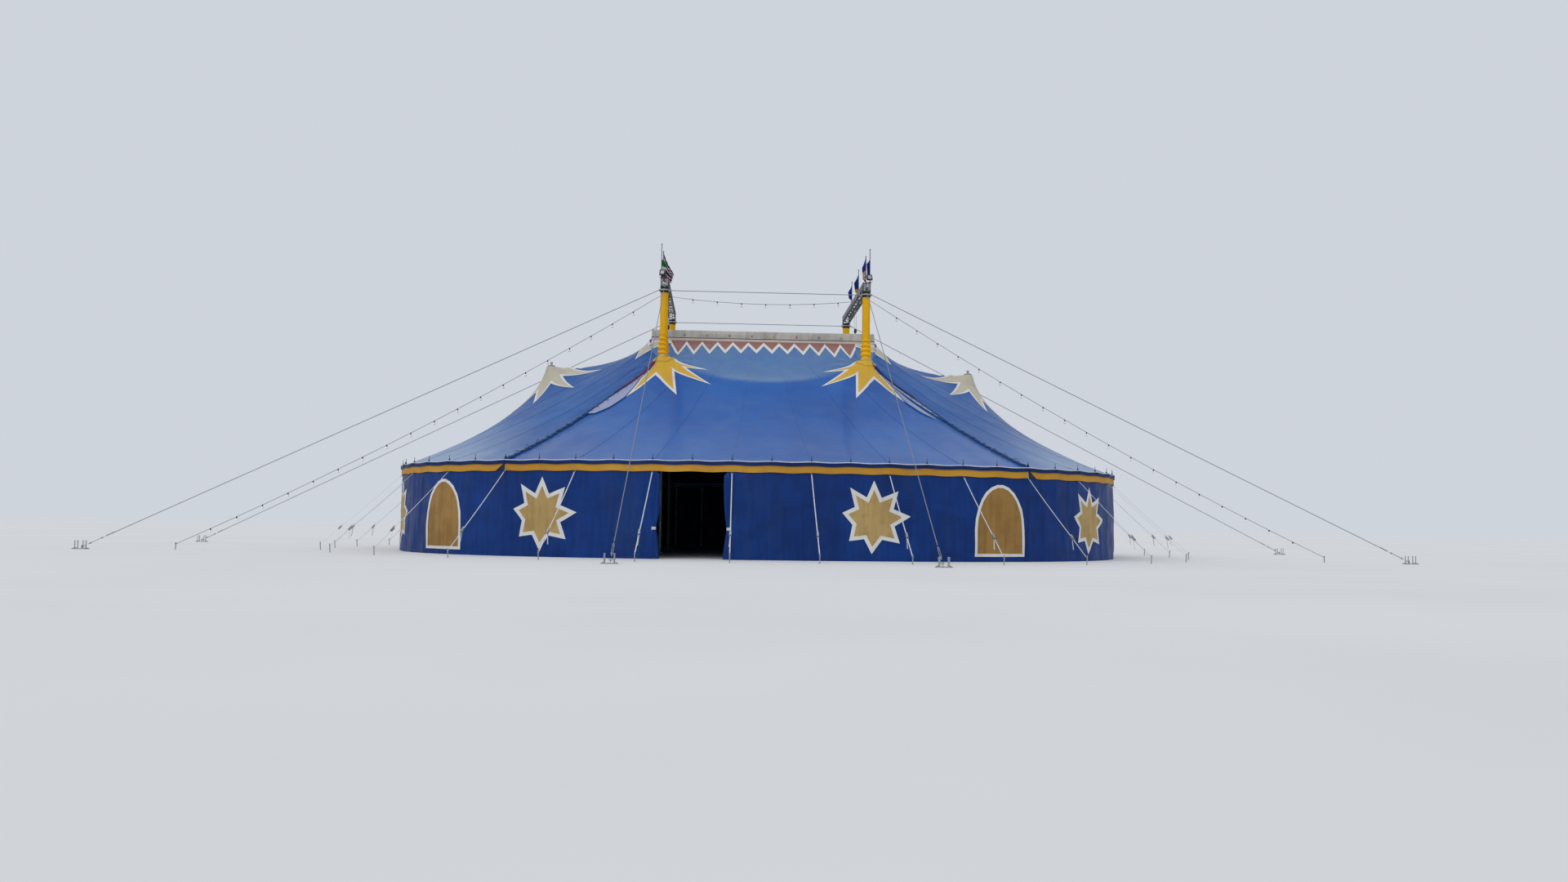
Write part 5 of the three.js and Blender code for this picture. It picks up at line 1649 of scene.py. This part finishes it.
def flag_face(x, y, shape, phase, swing, lift):
    """One face of a flag as points, row by row down its hoist."""
    top, hoist, spread, drop = shape
    across = np.linspace(0, 1, FLAG_COLUMNS + 1)
    wave = PLEATS * 2 * math.pi * across
    rows = []
    for down in np.linspace(0, 1, FLAG_ROWS + 1):
        fall = drop * across ** 0.75 * (1 - 0.35 * down) + 0.02 * np.sin(wave)
        reach = spread * across ** 1.15 * (1 - 0.25 * down) * (0.9 + 0.1 * math.cos(phase))
        pleat = 0.04 * np.sin(wave + phase + 1.2 * down) * np.clip(across * 6, 0, 1)
        slope = np.gradient(pleat, across) / 6
        rows.append(np.column_stack([x + math.copysign(0.02, spread) + reach - lift * slope * 4,
                                     y + pleat * (0.75 + 0.25 * down) + 0.012 * swing * across + lift,
                                     top - hoist * down * (1 - 0.42 * across) - fall]))
    return np.vstack(rows)


def flag_faces():
    """A flag's faces, row by row down its hoist. The points of its far side come last."""
    n = FLAG_COLUMNS + 1
    far = (FLAG_ROWS + 1) * n
    by_row = []
    for start in range(0, far - n, n):
        end = start + FLAG_COLUMNS
        faces = [(start, far + start, far + start + n, start + n), (end + n, far + end + n, far + end, end)]
        for p in range(start, end):
            faces.append((p, p + n, p + n + 1, p + 1))
            faces.append((far + p + 1, far + p + n + 1, far + p + n, far + p))
        by_row.append(faces)
    by_row[0] += [(p, p + 1, far + p + 1, far + p) for p in range(FLAG_COLUMNS)]
    by_row[-1] += [(p, far + p, far + p + 1, p + 1) for p in range(far - n, far - 1)]
    return by_row


def make_flag(name, x, y, bands, shape, seed):
    random = np.random.default_rng(seed)
    phase, swing = random.uniform(0, 6), random.uniform(-0.3, 0.3)
    points = np.vstack([flag_face(x, y, shape, phase, swing, lift) for lift in (FLAG_HALF, -FLAG_HALF)])
    faces, paints = [], []
    for row, some in enumerate(flag_faces()):
        faces += some
        paints += [next(colour for share, colour in bands if (row + 0.5) / FLAG_ROWS <= share)] * len(some)
    made = piece(f"flag_cloth_{name}", [(points, faces)], FLAG_CLOTHS, [f"flag_{name}"], 70, paints)


def make_flags(side, sx):
    x, low = sx * (MAST_X + (TRUSS_W - CHORD) / 2), TRUSS_TOP + 0.0006
    staffs = []
    for y, (top, hoist, _, _) in zip(FLAG_Y, FLAG_SHAPES[side]):
        staffs.append(tube([(x, y, low), (x, y, FLAGSTAFF_TOP - 0.06)], [0.024, 0.017], 10))
        staffs.append(spun(STAFF_FOOT, (x, y, low), 14))
        staffs.append(spun(STAFF_BALL, (x, y, FLAGSTAFF_TOP), 12))
        for z in (top - 0.02, top - hoist / 2, top - hoist + 0.04):
            staffs.append(ring_of((x, y, z), 0.02, 0.005, "z", 10, 5))
    piece(f"flagstaffs_{side}", staffs, TRUSS_STEEL)
    for i, y in enumerate(FLAG_Y):
        make_flag(f"{side}_{i + 1}", x, y, FLAG_BANDS[side][i], FLAG_SHAPES[side][i], SEED + 10 * i + sx)


for end_name, end_side in ENDS:
    for face_name, face_side in FACES:
        mast = (f"{face_name}_{end_name}", end_side * MAST_X, face_side * MAST_Y)
        make_sleeve(*mast, end_side, face_side)
        make_head(*mast)
    for make in (make_truss, make_floodlight, make_hoist):
        make(end_name, end_side * MAST_X)
    make_flags(end_name, end_side)


# Cupola: a sagging hipped cover with a straight band, a flared hem and small stars on the band

BAND_SAG = 0.02

# Each side's first corner, its run, its outward normal and half its length
COVER_SIDES = (((-1, -1), (2, 0), (0, -1), COVER_X), ((1, -1), (0, 2), (1, 0), COVER_Y),
               ((1, 1), (-2, 0), (0, 1), COVER_X), ((-1, 1), (0, -2), (-1, 0), COVER_Y))


def cover_ring(out, z, wave, seed, step=0.12):
    """Points round the cover with close corners, its sides drawn in a little between them."""
    points = []
    for i, (corner, run, normal, half) in enumerate(COVER_SIDES):
        t = np.linspace(0, 1, int(2 * half / step), endpoint=False)
        plan = (corner + np.outer(t, run)) * (COVER_X + out, COVER_Y + out)
        draw = wave * np.sin(2 * half * t * 6.1 + seed + i) - BAND_SAG * np.sin(math.pi * t) ** 0.5
        points.append(np.column_stack([plan + np.outer(draw, normal), np.full(len(t), z)]))
    return np.vstack(points)


def cover_height(x, y):
    """The hipped top, sagging a little between its ridge and its edges."""
    away = np.maximum((COVER_X - np.abs(x)) / (COVER_X - COVER_RIDGE_X), 0)
    share = np.clip(np.minimum(away, (COVER_Y - np.abs(y)) / COVER_Y), 0, 1)
    sag = 0.22 * np.sin(math.pi * share) * (0.7 + 0.3 * np.sin(x * 2.2))
    return COVER_TOP + (COVER_RIDGE_Z - COVER_TOP) * (share - sag)


def cover_surface(flat, lift):
    return np.column_stack([flat, cover_height(*flat.T) + lift])


BAND_LOW = COVER_LOW + 0.01
COVER_SKIN = 0.012
COVER_BAND = ((-0.01, BAND_LOW, 0.012, 0), (-0.004, BAND_LOW + 0.15, 0.010, 0.5),
              (-0.004, BAND_LOW + 0.33, 0.008, 1.0), (-0.006, COVER_TOP - 0.04, 0.004, 1.2),
              (-0.03, COVER_TOP - 0.005, 0.002, 1.2))
COVER_HEM = ((0.012, 0.13, 0.004), (0.03, 0.07, 0.010), (0.1, -0.02, 0.02), (0.09, -0.03, 0.02),
             (0.02, 0.055, 0.010), (0.0, 0.12, 0.004))
HEM_SEED = 2.0
COVER_EDGE = 0.05
COVER_SEAM_X = np.arange(-4.6, 4.7, 2.3)
COVER_SEAM_W, HIP_SEAM_W, COVER_SEAM_T = 0.05, 0.07, 0.006


def make_cover():
    outer = [cover_ring(*ring) for ring in COVER_BAND]
    cloud = np.array([(x, y) for x in np.arange(-5.6, 5.7, 0.2) for y in np.arange(-2.2, 2.3, 0.2)])
    flat, triangles = triangulate([outer[-1][:, :2]], cloud, clearance=0.1)
    inner = [ring - np.sign(ring) * (COVER_SKIN, COVER_SKIN, 0) for ring in outer]
    top = laid(flat, triangles, cover_surface, 0.0, -COVER_SKIN)
    skirt = loft(outer + inner[::-1], looped=True)
    piece("cover_sheet", [skirt, top], COVER, ["cupola_cover"], 35)
    hem = [cover_ring(out, BAND_LOW + up, wave, HEM_SEED) for out, up, wave in COVER_HEM]
    piece("cover_hem", [loft(hem, looped=True)], HEM)
    rope = cover_ring(0.012, BAND_LOW + 0.14, 0.004, HEM_SEED)
    piece("cover_rope", [tube(np.vstack([rope, rope[:1]]), 0.016, 6)], ROPE)
    seams = []
    for x in COVER_SEAM_X:
        for sy in (-1, 1):
            plan = np.column_stack([np.full(12, x), np.linspace(0.02, COVER_Y - COVER_EDGE, 12) * sy])
            seams.append(band(cover_surface(plan, COVER_SEAM_T), COVER_SEAM_W, COVER_SEAM_T))
    t = np.linspace(0, 1, 12)
    hip = np.column_stack([COVER_RIDGE_X + (COVER_X - COVER_RIDGE_X - COVER_EDGE) * t,
                           (COVER_Y - COVER_EDGE) * t])
    seams += [band(cover_surface(hip * (sx, sy), COVER_SEAM_T), HIP_SEAM_W, COVER_SEAM_T)
              for _, sx, sy in CORNERS]
    piece("cover_seams", seams, COVER)


BAND_STAR_PITCH = 1.15
BAND_STAR_R = 0.07
BAND_STAR_Z = 11.09
BAND_STAR_OUT = 0.012 - BAND_SAG
BAND_STAR_SHADES = {
    "rust": ((0.34, 0.16, 0.12), (0.27, 0.12, 0.09), (0.3, 0.26, 0.22)),
    "slate": ((0.20, 0.24, 0.32), (0.16, 0.19, 0.27), (0.3, 0.3, 0.3)),
    "ochre": ((0.40, 0.34, 0.17), (0.34, 0.28, 0.13), (0.3, 0.27, 0.2)),
}


def make_band_stars():
    spots = []
    for sy in (-1, 1):
        spots += [(x, sy * (COVER_Y + BAND_STAR_OUT), math.pi / 2 * sy)
                  for x in np.arange(-5.2, 5.3, BAND_STAR_PITCH)]
    for sx, turn in ((-1, math.pi), (1, 0)):
        spots += [(sx * (COVER_X + BAND_STAR_OUT), y, turn) for y in (-1.7, -0.57, 0.57, 1.7)]
    angles, reach = turns(10) + math.pi / 2, BAND_STAR_R * np.array([1, 0.45] * 5)
    flat = np.column_stack([np.zeros(10), reach * np.cos(angles), reach * np.sin(angles)])
    shape = loft([flat + (depth, 0, 0) for depth in (-0.012, 0.012)])
    for i, (name, shades) in enumerate(BAND_STAR_SHADES.items()):
        parts = [moved(shape, about_z(turn), (x, y, BAND_STAR_Z)) for x, y, turn in spots[i::3]]
        piece(f"band_stars_{name}", parts, cloth(f"band_{name}", *shades, pitch=FINE_PITCH))


make_cover()
make_band_stars()


# Quarter-pole tops, and stays with their fittings and anchors

QUARTER_PLATE = ((0.066, 0.0), (0.2, 0.01), (0.21, 0.03), (0.075, 0.05))
QUARTER_RING_R = 0.15
QUARTER_CAP = ((0.063, -0.08), (0.068, -0.075), (0.068, -0.01), (0.04, 0.0))


def make_pole_tops():
    parts = []
    for x in (-QUARTER_X, QUARTER_X):
        parts.append(spun(QUARTER_PLATE, (x, 0, QUARTER_Z + 0.012), 24))
        parts.append(ring_of((x, 0, QUARTER_Z + 0.06), QUARTER_RING_R, 0.018, "z", 28, 8))
        parts.append(spun(QUARTER_CAP, (x, 0, QUARTER_TOP), 16))
    piece("quarter_pole_rings", parts, STEEL)


def shackle(at, along, size):
    """A bow shackle whose pin is level."""
    side = unit(np.cross(along, (0, 0, 1))) * size
    path = [at + along * size * (0.5 + 0.5 * math.sin(a)) + side * 0.62 * math.cos(a)
            for a in np.linspace(math.pi, 0, 9)]
    return [tube([at - side * 0.5, *path, at + side * 0.5], size * 0.12, 6),
            tube([at - side * 0.75, at + side * 0.75], size * 0.14, 6)]


def turnbuckle(centre, along, length):
    side = unit(np.cross(along, (0, 0, 1)))
    half = along * length / 2
    parts = [tube([centre - half + side * s, centre + half + side * s], 0.012, 6) for s in (-0.03, 0.03)]
    for end in (-half, half):
        at = centre + end
        parts.append(tube([at - along * 0.02, at + along * 0.02], 0.042, 8))
        parts.append(tube([at - end * 0.3, at + end * 0.45], 0.015, 8))
    return parts


CABLE_R = 0.017
COLLAR = ((0.002, -0.035), (0.045, -0.03), (0.05, 0.0), (0.045, 0.03), (0.002, 0.035))
COLLAR_R = HEAD_R + 0.05
PEG_TOP = STAKE_TOP - 0.03
PEG_R, PEG_HEAD_R, PEG_HEAD = 0.02, 0.03, 0.025
PLATE_X, PLATE_Y, PLATE_T = 0.6, 0.36, 0.03
RIB_OUT = 0.24
PEG_SPOT = np.array((0.176, 0.12, 0))
LUG_LOW, LUG_TOP = 0.04, 0.17
EYE_Z = 0.1
CLIPS = (1.12, 1.21, 1.3)
CLIP_LENGTH = 0.035


def stay(start, foot):
    """One stay's cables and fittings, from the mast's collar to its anchor."""
    along = unit(foot - start)
    tail = [foot - along * 1.04 + (0, 0, 0.022), foot - along * 1.42 + (0, 0, 0.026)]
    cables = [tube([start + along * 0.12, foot - along * 1.05], CABLE_R, 7), tube(tail, 0.009, 6)]
    fittings = [*shackle(start + along * 0.02, along, 0.09), *shackle(foot - along * 0.12, along, 0.1),
                *turnbuckle(foot - along * 0.62, along, 0.5)]
    for back in CLIPS:
        fittings.append(tube([foot - along * back, foot - along * (back - CLIP_LENGTH)], 0.022, 8))
    return cables, fittings


def anchor(plate, eye):
    """A ground plate with two ribs and four pegs, and the lug that holds the stay."""
    parts = [band([eye + (0, 0, LUG_LOW), eye + (0, 0, LUG_TOP)], 0.016, 0.09),
             block((PLATE_X, PLATE_Y, PLATE_T), plate + (0, 0, 0.016))]
    for sx in (-1, 1):
        parts.append(block((0.02, PLATE_Y - 0.02, PLATE_T), plate + (RIB_OUT * sx, 0, 0.043)))
        for sy in (-1, 1):
            at = plate + PEG_SPOT * (sx, sy, 0)
            parts.append(tube([at, at + (0, 0, PEG_TOP)], PEG_R, 8))
            parts.append(tube([at + (0, 0, PEG_TOP), at + (0, 0, PEG_TOP + PEG_HEAD)], PEG_HEAD_R, 8))
    return parts


def make_stays():
    for name, sx, sy in CORNERS:
        mast = np.array((sx * MAST_X, sy * MAST_Y, STAY_Z))
        cables, plates = [], []
        fittings = [spun([(HEAD_R + r, z) for r, z in COLLAR], mast, 32)]
        for spot in (FRONT_ANCHOR if sy < 0 else BACK_ANCHOR, STEEP_ANCHOR):
            plate = np.array((sx * spot[0], sy * spot[1], 0.0))
            eye = plate - (sx * EYE_OFFSET[0], sy * EYE_OFFSET[1], 0)
            out = unit((eye - mast) * (1, 1, 0))
            lines, metals = stay(mast + out * COLLAR_R, eye + (0, 0, EYE_Z))
            cables += lines
            fittings += metals
            plates += anchor(plate, eye)
        piece(f"stay_cables_{name}", cables, STAY_STEEL, [f"mast_stays_{name}"])
        piece(f"stay_fittings_{name}", fittings, STEEL)
        piece(f"stay_anchors_{name}", plates, POLE_STEEL)
    reach = MAST_X - COLLAR_R
    for face, sy in FACES:
        y = sy * MAST_Y
        cable = tube([(-reach + 0.1, y, STAY_Z), (reach - 0.1, y, STAY_Z)], CABLE_R, 7)
        piece(f"tie_cable_{face}", [cable], STAY_STEEL, [f"mast_tie_{face}"])
        ends = []
        for s in (-1, 1):
            ends += shackle(np.array((s * (reach - 0.01), y, STAY_Z)), np.array((-s, 0, 0)), 0.09)
        piece(f"tie_shackles_{face}", ends, STEEL)


make_pole_tops()
make_stays()

# Solids that show as they are: masts, poles, the cupola's frame and the doorway's cable
for node_name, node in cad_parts.items():
    if not node.hide_render:
        node.data.materials.clear()
        node.data.materials.append(POLE_STEEL if "pole" in node_name else STEEL)


# Floor

FLOOR_REACH = 220


def make_floor():
    finish = Finish("studio_floor", roughness=0.9)
    patches = finish.spread(finish.noise(0.15), 0.3, 0.7)
    finish.set("Base Color", finish.mix(patches, (0.74, 0.74, 0.73), (0.70, 0.70, 0.69)))
    mesh = bpy.data.meshes.new("floor")
    corners = [(x * FLOOR_REACH, y * FLOOR_REACH, 0) for x, y in ((-1, -1), (1, -1), (1, 1), (-1, 1))]
    mesh.from_pydata(corners, [], [(0, 1, 2, 3)])
    mesh.materials.append(finish.material)
    added("floor", mesh)


make_floor()
